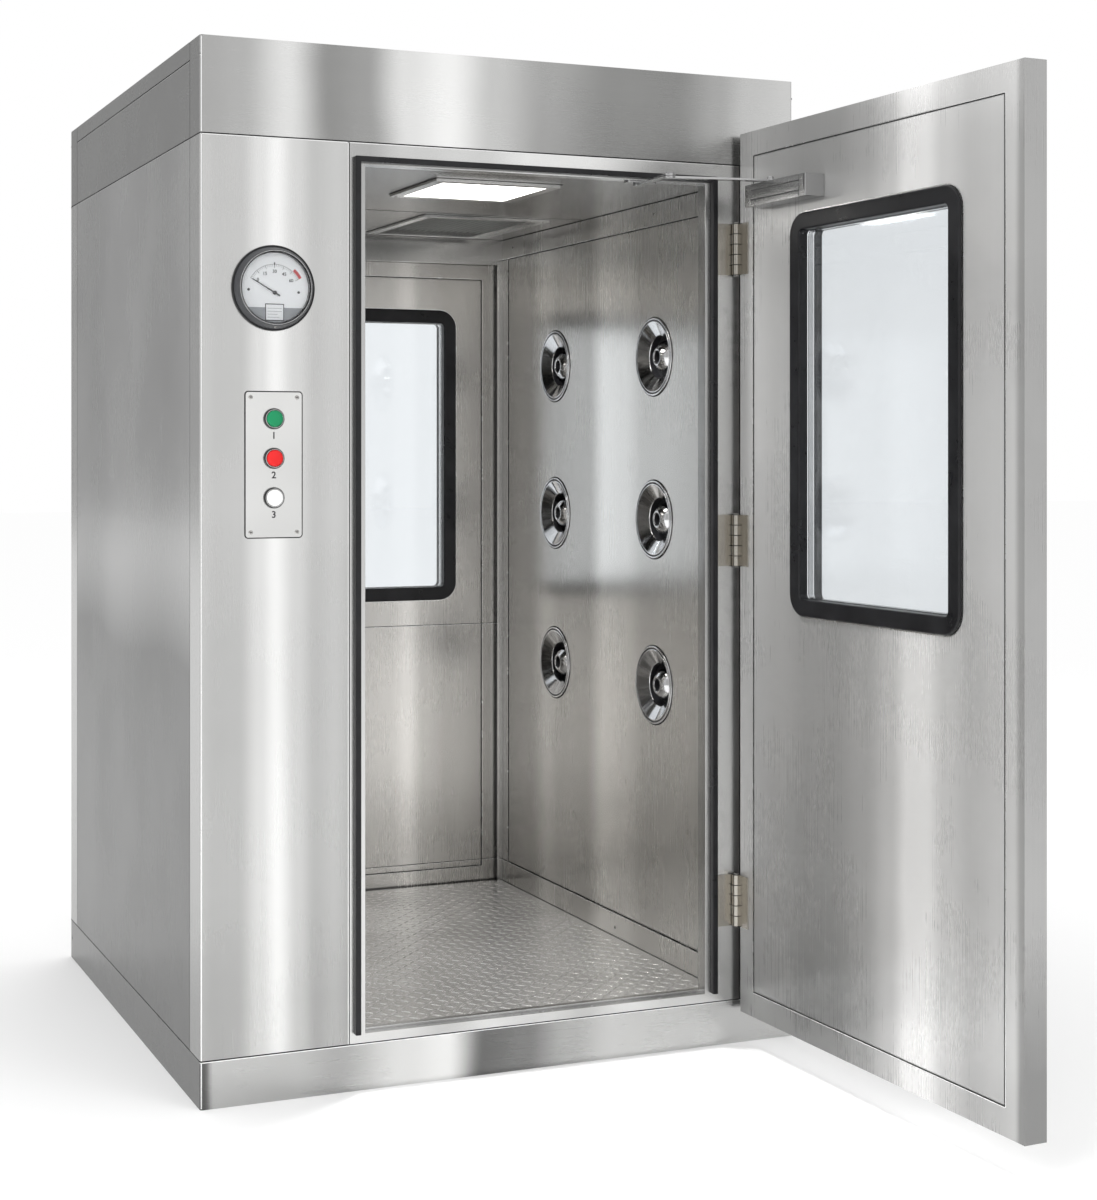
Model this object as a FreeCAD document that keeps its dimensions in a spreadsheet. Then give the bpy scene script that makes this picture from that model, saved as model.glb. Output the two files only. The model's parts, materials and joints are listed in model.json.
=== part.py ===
import FreeCAD, Part
import math
import os
import re

import Sketcher

# Air shower tunnel: a stainless walk-through cabinet with a door at each end,
# air nozzles in both side walls and a fan with its filter in the left column.
# Millimetres. The origin is the middle of the base on the floor, +X to the
# right and +Y to the rear for someone who stands in front of the entry door.

# Driving dimensions.
SIZES = {
    # Cabinet casing
    "cabinet_width": 1365,
    "cabinet_depth": 1340,
    "cabinet_height": 2150,
    "plinth_height": 95,
    "header_height": 195,
    "band_height": 37,
    "column_width": 313,
    "corner_return": 83,
    "panel_seam": 3,
    "panel_sheet": 2,
    "fold_radius": 6,
    "panel_flange": 15,
    "seat_gap": 0.3,
    # Welded frame
    "rail_flange": 40,
    "rail_sheet": 3,
    "post_width": 40,
    "tube_wall": 2,
    "joist_width": 60,
    "anchor_inset": 22,
    "anchor_radius": 7,
    "cable_entry_radius": 12.5,
    "cable_entry_inset": 120,
    # Front doorway
    "side_strip_width": 135.7,
    "head_height": 44,
    "floor_top": 117,
    "floor_plate": 4,
    "jamb_width": 35,
    "hinge_jamb_width": 87,
    "frame_depth": 34,
    "frame_sheet": 2,
    "threshold_height": 5,
    "threshold_depth": 14,
    "gasket_width": 12,
    "gasket_inset": 13,
    "gasket_head_inset": 4,
    # Rear doorway
    "rear_opening_inset": 14,
    "rear_head_drop": 70,
    "rear_stop_depth": 12,
    "rear_stop_lap": 14,
    "rear_jamb_width": 35,
    "rear_gasket_depth": 15,
    "rear_gasket_width": 8,
    # Cabin lining
    "lining_sheet": 2,
    "right_plenum": 172,
    "kick_height": 58,
    "trim_height": 55,
    "trim_sheet": 2,
    # Air nozzles
    "nozzle_first_depth": 345,
    "nozzle_second_depth": 913,
    "nozzle_low": 761,
    "nozzle_middle": 1155,
    "nozzle_high": 1542,
    "nozzle_radius": 93,
    "nozzle_cone_radius": 82,
    "nozzle_hole_radius": 80,
    "throat_radius": 51,
    "throat_depth": 14,
    "nozzle_rim": 3.4,
    "nozzle_wall": 3,
    "ball_radius": 42,
    "ball_depth": 44,
    "ball_bore_radius": 15,
    "ball_mouth_latitude": 60,
    "ball_tail_latitude": -48,
    "ball_clearance": 0.4,
    # Ceiling lamp
    "lamp_aside": 49.5,
    "lamp_middle_depth": 280,
    "lamp_size": 300,
    "lamp_rim": 24,
    "lamp_drop": 7,
    "lamp_can_height": 45,
    "lamp_sheet": 2,
    "diffuser_thickness": 3,
    # Ceiling return grille and its filter
    "grille_aside": 183.5,
    "grille_back": 360,
    "grille_width": 340,
    "grille_length": 440,
    "grille_rim": 22,
    "grille_drop": 6,
    "grille_neck": 26,
    "slat_count": 15,
    "slat_thickness": 1.6,
    "slat_height": 15,
    "slat_lean": 9,
    "prefilter_height": 45,
    # Fan unit in the left column
    "fan_middle_depth": 629,
    "fan_box_length": 360,
    "fan_box_drop": 22,
    "fan_box_height": 280,
    "inlet_radius": 78,
    "impeller_radius": 110,
    "impeller_height": 64,
    "impeller_plate": 3,
    "blade_count": 7,
    "blade_thickness": 3,
    "shaft_radius": 8,
    "shaft_length": 30,
    "motor_radius": 55,
    "motor_height": 100,
    "motor_bridge": 60,
    "running_clearance": 0.05,
    "filter_width": 240,
    "filter_length": 340,
    "filter_height": 150,
    "control_box_gap": 38,
    "control_box_margin": 40,
    "control_box_length": 240,
    "control_box_height": 120,
    "lock_length": 150,
    "lock_height": 25,
    # Gauge
    "gauge_side": 151,
    "gauge_drop": 305,
    "gauge_radius": 87,
    "gauge_body_radius": 70,
    "gauge_body_depth": 40,
    "gauge_window_radius": 71,
    "gauge_rim": 24,
    "dial_level": 9,
    "dial_thickness": 1,
    "pointer_level": 12,
    "pointer_thickness": 1,
    "pointer_length": 54,
    "pointer_tail": 12,
    "pointer_width": 3,
    "pointer_hub_radius": 4,
    "pointer_drop": 10,
    "lens_level": 17,
    "lens_thickness": 2.5,
    # Push buttons
    "plate_width": 118,
    "plate_length": 294,
    "plate_sheet": 2,
    "plate_drop": 357.5,
    "plate_corner": 6,
    "button_side": 152,
    "button_drop": 344.5,
    "button_pitch": 80,
    "bezel_radius": 21.5,
    "bezel_height": 8,
    "cap_radius": 16.6,
    "cap_height": 14,
    "cap_stem_radius": 9,
    "cap_stem_length": 18,
    "button_travel": 4,
    # Entry door
    "hinge_axis_inset": 14.3,
    "hinge_axis_proud": 10,
    "door_rest_angle": 92,
    "front_leaf_lap": 166,
    "front_leaf_bottom": 75,
    "front_leaf_rise": 112,
    "leaf_thickness": 50,
    "leaf_skin": 2.5,
    "front_edge_gap": 9,
    "front_face_gap": 5,
    "leaf_border": 55,
    "groove_width": 3,
    "groove_depth": 1.2,
    "front_window_margin": 192.5,
    "front_window_height": 850,
    "front_window_drop": 626,
    "front_window_shift": 16,
    # Exit door
    "rear_edge_gap": 2,
    "rear_face_gap": 9.5,
    "rear_window_margin": 134,
    "rear_window_height": 803,
    "rear_window_drop": 545,
    # Window rubber and panes, one size for both doors
    "rubber_width": 36,
    "rubber_radius": 48,
    "rubber_lip": 18,
    "rubber_proud": 8,
    "pane_thickness": 5,
    "pane_gap": 12,
    # Hinges, one size for both doors
    "hinge_height": 114,
    "hinge_low": 320,
    "hinge_middle": 1119,
    "hinge_drop": 143,
    "rear_hinge_drop": 198,
    "knuckle_radius": 9,
    "knuckle_gap": 0.4,
    "hinge_pin_radius": 4,
    "hinge_plate": 3,
    "hinge_leaf_width": 34,
    "hinge_leaf_start": 9.6,
    # Pull handles
    "pull_inset": 80,
    "rear_pull_inset": 58,
    "pull_middle": 1100,
    "pull_length": 320,
    "pull_radius": 9,
    "pull_reach": 52,
    "pull_bend": 24,
    # Door closer
    "closer_near": 105,
    "closer_far": 339,
    "closer_depth": 48,
    "closer_height": 48,
    "closer_head_gap": 16,
    "spindle_reach": 175,
    "spindle_offset": 22,
    "spindle_radius": 7,
    "spindle_length": 12,
    "shoe_reach": 224,
    "shoe_back": 36,
    "arm_thickness": 5,
    "arm_gap": 0.5,
    "arm_width": 18,
    "arm_eye_radius": 13,
    "forearm_width": 14,
    "pivot_radius": 5,
    "elbow_clearance": 0.3,
    "shoe_length": 70,
    "shoe_width": 26,
    "shoe_thickness": 4,
}

# Places worked out from the driving dimensions.
PLACES = {
    "left": "-cabinet_width / 2",
    "right": "cabinet_width / 2",
    "front": "-cabinet_depth / 2",
    "rear": "cabinet_depth / 2",
    "panel_bottom": "plinth_height + panel_seam",
    "header_bottom": "cabinet_height - header_height",
    "panel_top": "header_bottom - panel_seam",
    "band_bottom": "cabinet_height - band_height",
    "panel_front": "front + corner_return + panel_seam - 1",
    "panel_rear": "rear - corner_return - panel_seam + 1",
    "column_right": "left + column_width",
    "frame_left": "column_right + seat_gap",
    "frame_right": "right - side_strip_width",
    "opening_left": "frame_left + jamb_width",
    "opening_right": "frame_right - hinge_jamb_width",
    "opening_width": "opening_right - opening_left",
    "opening_top": "panel_top - head_height",
    "frame_back": "front + frame_depth",
    "cabin_left": "column_right + lining_sheet",
    "cabin_right": "right - right_plenum",
    "cabin_middle": "(cabin_left + cabin_right) / 2",
    "joist_spacing": "-cabin_left - joist_width / 2 - seat_gap",
    "stop_front": "rear - leaf_thickness - rear_gasket_depth - rear_stop_depth",
    "stop_back": "stop_front + rear_stop_depth",
    "rear_opening_left": "cabin_left + rear_opening_inset",
    "rear_opening_right": "cabin_right - rear_opening_inset",
    "rear_opening_top": "opening_top - rear_head_drop",
    "rear_leaf_left": "rear_opening_left - rear_stop_lap",
    "rear_leaf_right": "rear_opening_right + rear_stop_lap",
    "rear_leaf_width": "rear_leaf_right - rear_leaf_left",
    "rear_leaf_bottom": "floor_top - rear_stop_lap",
    "rear_leaf_top": "rear_opening_top + rear_stop_lap",
    "rear_frame_left": "rear_leaf_left - 2 * rear_edge_gap - rear_jamb_width",
    "rear_frame_right": "rear_leaf_right + 2 * rear_edge_gap + rear_jamb_width",
    "front_axis_x": "frame_right - hinge_axis_inset",
    "front_axis_y": "front - hinge_axis_proud",
    "rear_axis_x": "rear_leaf_left - rear_edge_gap",
    "rear_axis_y": "rear + rear_face_gap",
    "front_leaf_width": "opening_width + front_leaf_lap",
    "front_leaf_top": "opening_top + front_leaf_rise",
    "front_leaf_outer": "-front_face_gap - leaf_thickness",
    "front_window_width": "front_leaf_width - 2 * front_window_margin",
    "front_window_side": "front_leaf_width / 2 + front_window_shift",
    "front_window_middle": "front_leaf_top - front_window_drop",
    "rear_leaf_outer": "rear_face_gap",
    "rear_window_width": "rear_leaf_width - 2 * rear_window_margin",
    "rear_window_side": "rear_leaf_width / 2",
    "rear_window_middle": "rear_leaf_top - rear_window_drop",
    "hinge_high": "opening_top - hinge_drop",
    "rear_hinge_high": "rear_opening_top - rear_hinge_drop",
    "pull_side": "front_leaf_width - pull_inset",
    "rear_pull_side": "rear_leaf_width - rear_pull_inset",
    "lining_bottom": "plinth_height + seat_gap",
    "lining_rear": "stop_front - seat_gap",
    "ceiling_top": "opening_top + lining_sheet",
    "roof_top": "cabinet_height - panel_sheet",
    "roof_bottom": "roof_top - panel_sheet",
    "lamp_x": "cabin_middle - lamp_aside",
    "lamp_y": "front + lamp_middle_depth",
    "grille_x": "cabin_middle + grille_aside",
    "grille_y": "rear - grille_back",
    "grille_top": "ceiling_top + grille_neck",
    "fan_x": "(left + column_right) / 2",
    "fan_y": "front + fan_middle_depth",
    "fan_left": "left + panel_sheet + seat_gap",
    "fan_right": "column_right - seat_gap",
    "fan_box_top": "panel_top - fan_box_drop",
    "fan_box_bottom": "fan_box_top - fan_box_height",
    "control_box_left": "lamp_x + lamp_size / 2 + control_box_gap",
    "control_box_right": "cabin_right - control_box_margin",
    "gauge_height": "panel_top - gauge_drop",
    "plate_middle": "gauge_height - plate_drop",
    "button_middle": "gauge_height - button_drop",
    "impeller_top": "fan_box_top - panel_sheet - 6",
    "impeller_bottom": "impeller_top - impeller_height",
    "motor_top": "impeller_bottom - 6",
    "motor_bottom": "motor_top - motor_height",
    "spindle_arm": "sqrt(spindle_reach^2 + spindle_offset^2)",
    "closer_top": "opening_top - closer_head_gap",
    "arm_bottom": "closer_top + 2 * arm_gap",
    "arm_top": "arm_bottom + arm_thickness",
    "forearm_bottom": "arm_top + arm_gap",
    "forearm_top": "forearm_bottom + arm_thickness",
}

doc = FreeCAD.newDocument("AirShower")
sheet = doc.addObject("Spreadsheet::Sheet", "Sizes")
for row, (alias, number) in enumerate(SIZES.items(), start=1):
    sheet.set(f"A{row}", alias)
    sheet.set(f"B{row}", str(number))
    sheet.setAlias(f"B{row}", alias)
doc.recompute()

WORD = re.compile(r"[a-z][a-z_0-9]*")
SUB_PARTS = []


def resolve(text):
    """Expand named places and point driving dimensions at their cells."""
    def swap(match):
        word = match.group(0)
        if word in PLACES:
            return "(" + resolve(PLACES[word]) + ")"
        if word in SIZES:
            return "Sizes." + word
        return word
    return WORD.sub(swap, str(text))


def value(text):
    """Number of an expression of named sizes."""
    number = sheet.evalExpression(resolve(text))
    return float(getattr(number, "Value", number))


def bind(item, prop, text):
    """Tie a property to an expression of named sizes."""
    item.setExpression(prop, resolve(text))


def place(item, x="0", y="0", z="0", turn=None):
    """Put an object at a named place, turned by a fixed rotation if one is given."""
    if turn is not None:
        item.Placement = FreeCAD.Placement(FreeCAD.Vector(), turn)
    bind(item, "Placement.Base.x", x)
    bind(item, "Placement.Base.y", y)
    bind(item, "Placement.Base.z", z)
    return item


def swing(item, x, y, angle):
    """Put an object at a vertical axis and turn it about that axis."""
    item.Placement = FreeCAD.Placement(
        FreeCAD.Vector(), FreeCAD.Rotation(FreeCAD.Vector(0, 0, 1), 1))
    bind(item, "Placement.Base.x", x)
    bind(item, "Placement.Base.y", y)
    bind(item, "Placement.Rotation.Angle", angle)
    return item


def node(item, name):
    """Name a finished sub-part; its label names its file."""
    item.Label = name
    SUB_PARTS.append(item)
    return item


# Primitives and booleans.
def box(name, xs, ys, zs):
    """Box between two ends along each axis."""
    item = doc.addObject("Part::Box", name)
    for prop, (low, high) in zip(("Length", "Width", "Height"), (xs, ys, zs)):
        bind(item, prop, f"({high}) - ({low})")
    return place(item, xs[0], ys[0], zs[0])


def cylinder(name, radius, x, y, z0, z1):
    """Upright cylinder between two heights."""
    item = doc.addObject("Part::Cylinder", name)
    bind(item, "Radius", radius)
    bind(item, "Height", f"({z1}) - ({z0})")
    return place(item, x, y, z0)


def cut(name, base, tool):
    item = doc.addObject("Part::Cut", name)
    item.Base = base
    item.Tool = tool
    return item


def fuse(name, pieces):
    item = doc.addObject("Part::MultiFuse", name)
    item.Shapes = pieces
    return item


def group(name, pieces):
    """Separate solids that share one node."""
    item = doc.addObject("Part::Compound", name)
    item.Links = pieces
    return node(item, name)


# Sketched bodies.
PLANE_SIGN = {"XY": 1, "XZ": -1, "YZ": 1}


def new_body(name):
    return doc.addObject("PartDesign::Body", name)


def sketch_on(body, plane, level="0"):
    """Sketch on an origin plane of the body, moved along the plane's axis to a level."""
    sketch = body.newObject("Sketcher::SketchObject", body.Name + "_sketch")
    role = plane + "_Plane"
    support = [item for item in body.Origin.OriginFeatures if item.Role == role][0]
    sketch.AttachmentSupport = (support, [""])
    sketch.MapMode = "FlatFace"
    bind(sketch, "AttachmentOffset.Base.z", f"{PLANE_SIGN[plane]} * ({level})")
    return sketch


def pin_down(sketch, edge, end, point):
    """Hold one end of an edge at a point of named sizes."""
    for kind, text in zip(("DistanceX", "DistanceY"), point):
        number = sketch.addConstraint(Sketcher.Constraint(kind, edge, end, value(text)))
        bind(sketch, f"Constraints[{number}]", text)


def vector(point):
    return FreeCAD.Vector(value(point[0]), value(point[1]), 0)


def stepped(corner, other):
    """Point on the straight edge towards another corner, one fold radius away."""
    u, v, radius = corner
    reach = vector(other) - vector(corner)
    if abs(reach.x) > abs(reach.y):
        return (f"({u}) + {round(math.copysign(1, reach.x))} * ({radius})", v)
    return (u, f"({v}) + {round(math.copysign(1, reach.y))} * ({radius})")


def round_corner(sketch, corner, entry, leave, line_in, line_out):
    """Arc between two square edges, tied to both of them."""
    start, stop, here = vector(entry), vector(leave), vector(corner)
    centre = start + stop - here
    clockwise = (here - start).cross(stop - here).z < 0
    ends = [(stop, line_out, 1), (start, line_in, 2)] if clockwise else \
        [(start, line_in, 2), (stop, line_out, 1)]
    angles = [math.atan2(point.y - centre.y, point.x - centre.x) for point, _, _ in ends]
    if angles[1] < angles[0]:
        angles[1] += 2 * math.pi
    radius = value(corner[2])
    circle = Part.Circle(centre, FreeCAD.Vector(0, 0, 1), radius)
    arc = sketch.addGeometry(Part.ArcOfCircle(circle, *angles), False)
    for arc_end, (_, line, line_end) in enumerate(ends, start=1):
        sketch.addConstraint(Sketcher.Constraint("Coincident", arc, arc_end, line, line_end))
    number = sketch.addConstraint(Sketcher.Constraint("Radius", arc, radius))
    bind(sketch, f"Constraints[{number}]", corner[2])


def outline(sketch, corners):
    """Closed wire through corners of named sizes; a third value rounds a square corner."""
    count = len(corners)
    entries, leaves = [], []
    for index, corner in enumerate(corners):
        if len(corner) == 2:
            entries.append(corner)
            leaves.append(corner)
        else:
            entries.append(stepped(corner, corners[index - 1]))
            leaves.append(stepped(corner, corners[(index + 1) % count]))
    lines = []
    for index in range(count):
        start, stop = leaves[index], entries[(index + 1) % count]
        line = sketch.addGeometry(Part.LineSegment(vector(start), vector(stop)), False)
        lines.append(line)
        pin_down(sketch, line, 1, start)
    for index in range(count):
        after = (index + 1) % count
        if len(corners[after]) == 2:
            sketch.addConstraint(
                Sketcher.Constraint("Coincident", lines[index], 2, lines[after], 1))
        else:
            pin_down(sketch, lines[index], 2, entries[after])
    for index, corner in enumerate(corners):
        if len(corner) == 3:
            round_corner(sketch, corner, entries[index], leaves[index],
                         lines[index - 1], lines[index])


def rectangle(sketch, us, vs, radius=None):
    """Upright rectangle, with rounded corners if a radius is given."""
    corners = [(us[0], vs[0]), (us[1], vs[0]), (us[1], vs[1]), (us[0], vs[1])]
    if radius:
        corners = [(u, v, radius) for u, v in corners]
    outline(sketch, corners)


def ring(sketch, u, v, radius):
    """Circle about a point of named sizes."""
    circle = Part.Circle(vector((u, v)), FreeCAD.Vector(0, 0, 1), value(radius))
    edge = sketch.addGeometry(circle, False)
    pin_down(sketch, edge, 3, (u, v))
    number = sketch.addConstraint(Sketcher.Constraint("Radius", edge, value(radius)))
    bind(sketch, f"Constraints[{number}]", radius)


def pad(body, sketch, length):
    """Extrude towards the plane's positive axis."""
    feature = body.newObject("PartDesign::Pad", body.Name + "_pad")
    feature.Profile = sketch
    feature.Reversed = "XZ" in sketch.AttachmentSupport[0][0].Role
    bind(feature, "Length", length)
    body.Tip = feature
    return feature


def pocket(body, sketch, length, towards_plus=True):
    """Cut from the sketch along its plane's axis."""
    feature = body.newObject("PartDesign::Pocket", body.Name + "_pocket")
    feature.Profile = sketch
    on_xz = "XZ" in sketch.AttachmentSupport[0][0].Role
    feature.Reversed = towards_plus != on_xz
    bind(feature, "Length", length)
    body.Tip = feature
    return feature


def revolve(body, sketch):
    """Full turn about the sketch's upright axis."""
    feature = body.newObject("PartDesign::Revolution", body.Name + "_turn")
    feature.Profile = sketch
    feature.ReferenceAxis = (sketch, ["V_Axis"])
    feature.Angle = 360
    body.Tip = feature
    return feature


def slab(name, plane, level, thickness, us, vs, radius=None, holes=()):
    """Flat plate on a plane, with rectangular or round holes."""
    body = new_body(name)
    sketch = sketch_on(body, plane, level)
    rectangle(sketch, us, vs, radius)
    for hole in holes:
        draw = rectangle if isinstance(hole[0], tuple) else ring
        draw(sketch, *hole)
    pad(body, sketch, thickness)
    return body


# Casing: folded sheet panels on a welded frame.
def folded_corner(name, outer_x, inner_x, sign_x, outer_y, sign_y, holes=()):
    """Corner panel with a rounded fold, a side return and a jamb return."""
    body = new_body(name)
    side = f"{outer_y} + {sign_y} * corner_return"
    inside_x = f"{outer_x} + {sign_x} * panel_sheet"
    inside_y = f"{outer_y} + {sign_y} * panel_sheet"
    jamb = f"{outer_y} + {sign_y} * (frame_depth - 4)"
    jamb_x = f"{inner_x} - {sign_x} * panel_sheet"
    sketch = sketch_on(body, "XY", "panel_bottom")
    outline(sketch, [
        (outer_x, side),
        (outer_x, outer_y, "fold_radius"),
        (inner_x, outer_y),
        (inner_x, jamb),
        (jamb_x, jamb),
        (jamb_x, inside_y),
        (inside_x, inside_y, "fold_radius - panel_sheet"),
        (inside_x, side),
    ])
    pad(body, sketch, "panel_top - panel_bottom")
    if holes:
        drill = sketch_on(body, "XZ", f"{outer_y} - 1")
        for hole in holes:
            ring(drill, *hole)
        pocket(body, drill, "panel_sheet + 2")
    return body


def header_fold(name, outer_y, sign_y):
    """Header panel across the whole width, folded round both corners."""
    body = new_body(name)
    side = f"{outer_y} + {sign_y} * corner_return"
    inside_y = f"{outer_y} + {sign_y} * panel_sheet"
    sketch = sketch_on(body, "XY", "header_bottom")
    outline(sketch, [
        ("left", side),
        ("left", outer_y, "fold_radius"),
        ("right", outer_y, "fold_radius"),
        ("right", side),
        ("right - panel_sheet", side),
        ("right - panel_sheet", inside_y, "fold_radius - panel_sheet"),
        ("left + panel_sheet", inside_y, "fold_radius - panel_sheet"),
        ("left + panel_sheet", side),
    ])
    pad(body, sketch, "cabinet_height - header_bottom")
    return body


def side_sheet(name, edge, sign, bottom, top):
    """Side panel between the corner panels, with a flange folded in at each end."""
    body = new_body(name)
    face = f"{edge} + {sign} * panel_sheet"
    flange = f"{edge} + {sign} * panel_flange"
    sketch = sketch_on(body, "XY", bottom)
    outline(sketch, [
        (edge, "panel_front"),
        (flange, "panel_front"),
        (flange, "panel_front + panel_sheet"),
        (face, "panel_front + panel_sheet"),
        (face, "panel_rear - panel_sheet"),
        (flange, "panel_rear - panel_sheet"),
        (flange, "panel_rear"),
        (edge, "panel_rear"),
    ])
    pad(body, sketch, f"({top}) - ({bottom})")
    return body


def casing():
    button_holes = [
        ("left + button_side", f"button_middle + ({step}) * button_pitch",
         "cap_stem_radius + 3")
        for step in (-1, 0, 1)
    ]
    gauge_hole = ("left + gauge_side", "gauge_height", "gauge_body_radius + seat_gap")
    column = folded_corner("left_column_panel", "left", "column_right", 1, "front", 1,
                           [gauge_hole] + button_holes)
    node(column, "left_column_panel")
    group("corner_panels", [
        folded_corner("front_right_corner", "right", "frame_right + seat_gap", -1,
                      "front", 1),
        folded_corner("rear_left_corner", "left", "rear_frame_left - seat_gap", 1,
                      "rear", -1),
        folded_corner("rear_right_corner", "right", "rear_frame_right + seat_gap", -1,
                      "rear", -1),
    ])
    group("side_panels", [
        side_sheet("left_side", "left", 1, "panel_bottom", "panel_top"),
        side_sheet("right_side", "right", -1, "panel_bottom", "panel_top"),
    ])
    node(header_fold("front_header_panel", "front", 1), "front_header_panel")
    cladding = [header_fold("rear_header", "rear", -1)]
    for side, edge, sign in (("left", "left", 1), ("right", "right", -1)):
        cladding.append(side_sheet(side + "_header_side", edge, sign, "header_bottom",
                                   "band_bottom - panel_seam"))
        cladding.append(side_sheet(side + "_top_band", edge, sign, "band_bottom",
                                   "cabinet_height"))
    roof = slab("roof_panel", "XY", "roof_bottom", "panel_sheet",
                ("left + panel_sheet + seat_gap", "right - panel_sheet - seat_gap"),
                ("front + panel_sheet + seat_gap", "rear - panel_sheet - seat_gap"),
                "fold_radius",
                [("left + cable_entry_inset", "rear - cable_entry_inset",
                  "cable_entry_radius")])
    group("header_cladding", cladding + [roof])


def end_rail(name, edge, sign):
    """Plinth rail folded to a channel, with a return at each corner and anchor holes."""
    body = new_body(name)
    side = f"{edge} + {sign} * corner_return"
    inner = f"{edge} + {sign} * rail_flange"
    sketch = sketch_on(body, "XY")
    outline(sketch, [
        ("left", side),
        ("left", edge, "fold_radius"),
        ("right", edge, "fold_radius"),
        ("right", side),
        ("right - rail_flange", side),
        ("right - rail_flange", inner),
        ("left + rail_flange", inner),
        ("left + rail_flange", side),
    ])
    pad(body, sketch, "plinth_height")
    web = f"{edge} + {sign} * rail_sheet"
    past_side = f"{side} + {sign} * 1"
    past_inner = f"{inner} + {sign} * 1"
    hollow = sketch_on(body, "XY", "rail_sheet")
    outline(hollow, [
        ("left + rail_sheet", past_side),
        ("left + rail_sheet", web),
        ("right - rail_sheet", web),
        ("right - rail_sheet", past_side),
        ("right - rail_flange - 1", past_side),
        ("right - rail_flange - 1", past_inner),
        ("left + rail_flange + 1", past_inner),
        ("left + rail_flange + 1", past_side),
    ])
    pocket(body, hollow, "plinth_height - 2 * rail_sheet")
    anchors = sketch_on(body, "XY")
    for x in ("left + anchor_inset", "right - anchor_inset"):
        ring(anchors, x, f"{edge} + {sign} * anchor_inset", "anchor_radius")
    pocket(body, anchors, "rail_sheet")
    return body


def side_rail(name, edge, sign):
    """Straight plinth channel between the end rails."""
    body = new_body(name)
    web = f"{edge} + {sign} * rail_sheet"
    flange = f"{edge} + {sign} * rail_flange"
    sketch = sketch_on(body, "XZ", "front + corner_return + seat_gap")
    outline(sketch, [
        (edge, "0"),
        (flange, "0"),
        (flange, "rail_sheet"),
        (web, "rail_sheet"),
        (web, "plinth_height - rail_sheet"),
        (flange, "plinth_height - rail_sheet"),
        (flange, "plinth_height"),
        (edge, "plinth_height"),
    ])
    pad(body, sketch, "cabinet_depth - 2 * corner_return - 2 * seat_gap")
    return body


def tube(name, plane, level, length, us, vs):
    """Rectangular hollow section along one axis, with rolled corners."""
    body = new_body(name)
    sketch = sketch_on(body, plane, level)
    rectangle(sketch, us, vs, "fold_radius")
    rectangle(sketch, (f"{us[0]} + tube_wall", f"{us[1]} - tube_wall"),
              (f"{vs[0]} + tube_wall", f"{vs[1]} - tube_wall"),
              "fold_radius - tube_wall")
    pad(body, sketch, length)
    return body


def joist(us):
    """Floor joist, cut down at the rear to pass under the rear doorway."""
    body = tube("joist", "XZ", "front + rail_flange + seat_gap",
                "cabinet_depth - 2 * rail_flange - 2 * seat_gap",
                us, ("0", "floor_top - floor_plate"))
    sketch = sketch_on(body, "XY", "plinth_height - seat_gap")
    rectangle(sketch, (f"{us[0]} - 1", f"{us[1]} + 1"),
              ("stop_front - seat_gap", "rear"))
    pocket(body, sketch, "floor_top")
    return body


def welded_frame():
    pieces = [
        end_rail("front_rail", "front", 1),
        end_rail("rear_rail", "rear", -1),
        side_rail("left_rail", "left", 1),
        side_rail("right_rail", "right", -1),
    ]
    sides = {"left": ("left + panel_sheet", "left + panel_sheet + post_width"),
             "right": ("right - panel_sheet - post_width", "right - panel_sheet")}
    ends = {"front": ("front + panel_sheet", "panel_front"),
            "rear": ("panel_rear", "rear - panel_sheet")}
    for side, us in sides.items():
        for end, vs in ends.items():
            pieces.append(tube(f"{end}_{side}_post", "XY", "plinth_height",
                               "roof_bottom - plinth_height", us, vs))
    for step in (-1, 0, 1):
        centre = f"({step}) * joist_spacing"
        pieces.append(joist((f"{centre} - joist_width / 2",
                             f"{centre} + joist_width / 2")))
    group("cabinet_frame", pieces)


# Doorways.
def front_frame():
    """Folded ring round the front doorway, open at the back, with a raised threshold."""
    body = new_body("front_door_frame")
    us = ("frame_left", "frame_right")
    vs = ("plinth_height", "panel_top")
    clear_us = ("opening_left", "opening_right")
    clear_vs = ("floor_top", "opening_top")
    sketch = sketch_on(body, "XZ", "front")
    rectangle(sketch, us, vs)
    rectangle(sketch, clear_us, clear_vs)
    pad(body, sketch, "frame_depth")
    hollow = sketch_on(body, "XZ", "frame_back")
    rectangle(hollow, (f"{us[0]} + frame_sheet", f"{us[1]} - frame_sheet"),
              (f"{vs[0]} + frame_sheet", f"{vs[1]} - frame_sheet"))
    rectangle(hollow, (f"{clear_us[0]} - frame_sheet", f"{clear_us[1]} + frame_sheet"),
              (f"{clear_vs[0]} - frame_sheet", f"{clear_vs[1]} + frame_sheet"))
    pocket(body, hollow, "frame_depth - frame_sheet", towards_plus=False)
    lip = sketch_on(body, "XY", "floor_top - frame_sheet")
    rectangle(lip, clear_us, ("frame_back - threshold_depth", "frame_back"))
    pad(body, lip, "frame_sheet + threshold_height")
    node(body, "front_door_frame")


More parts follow.
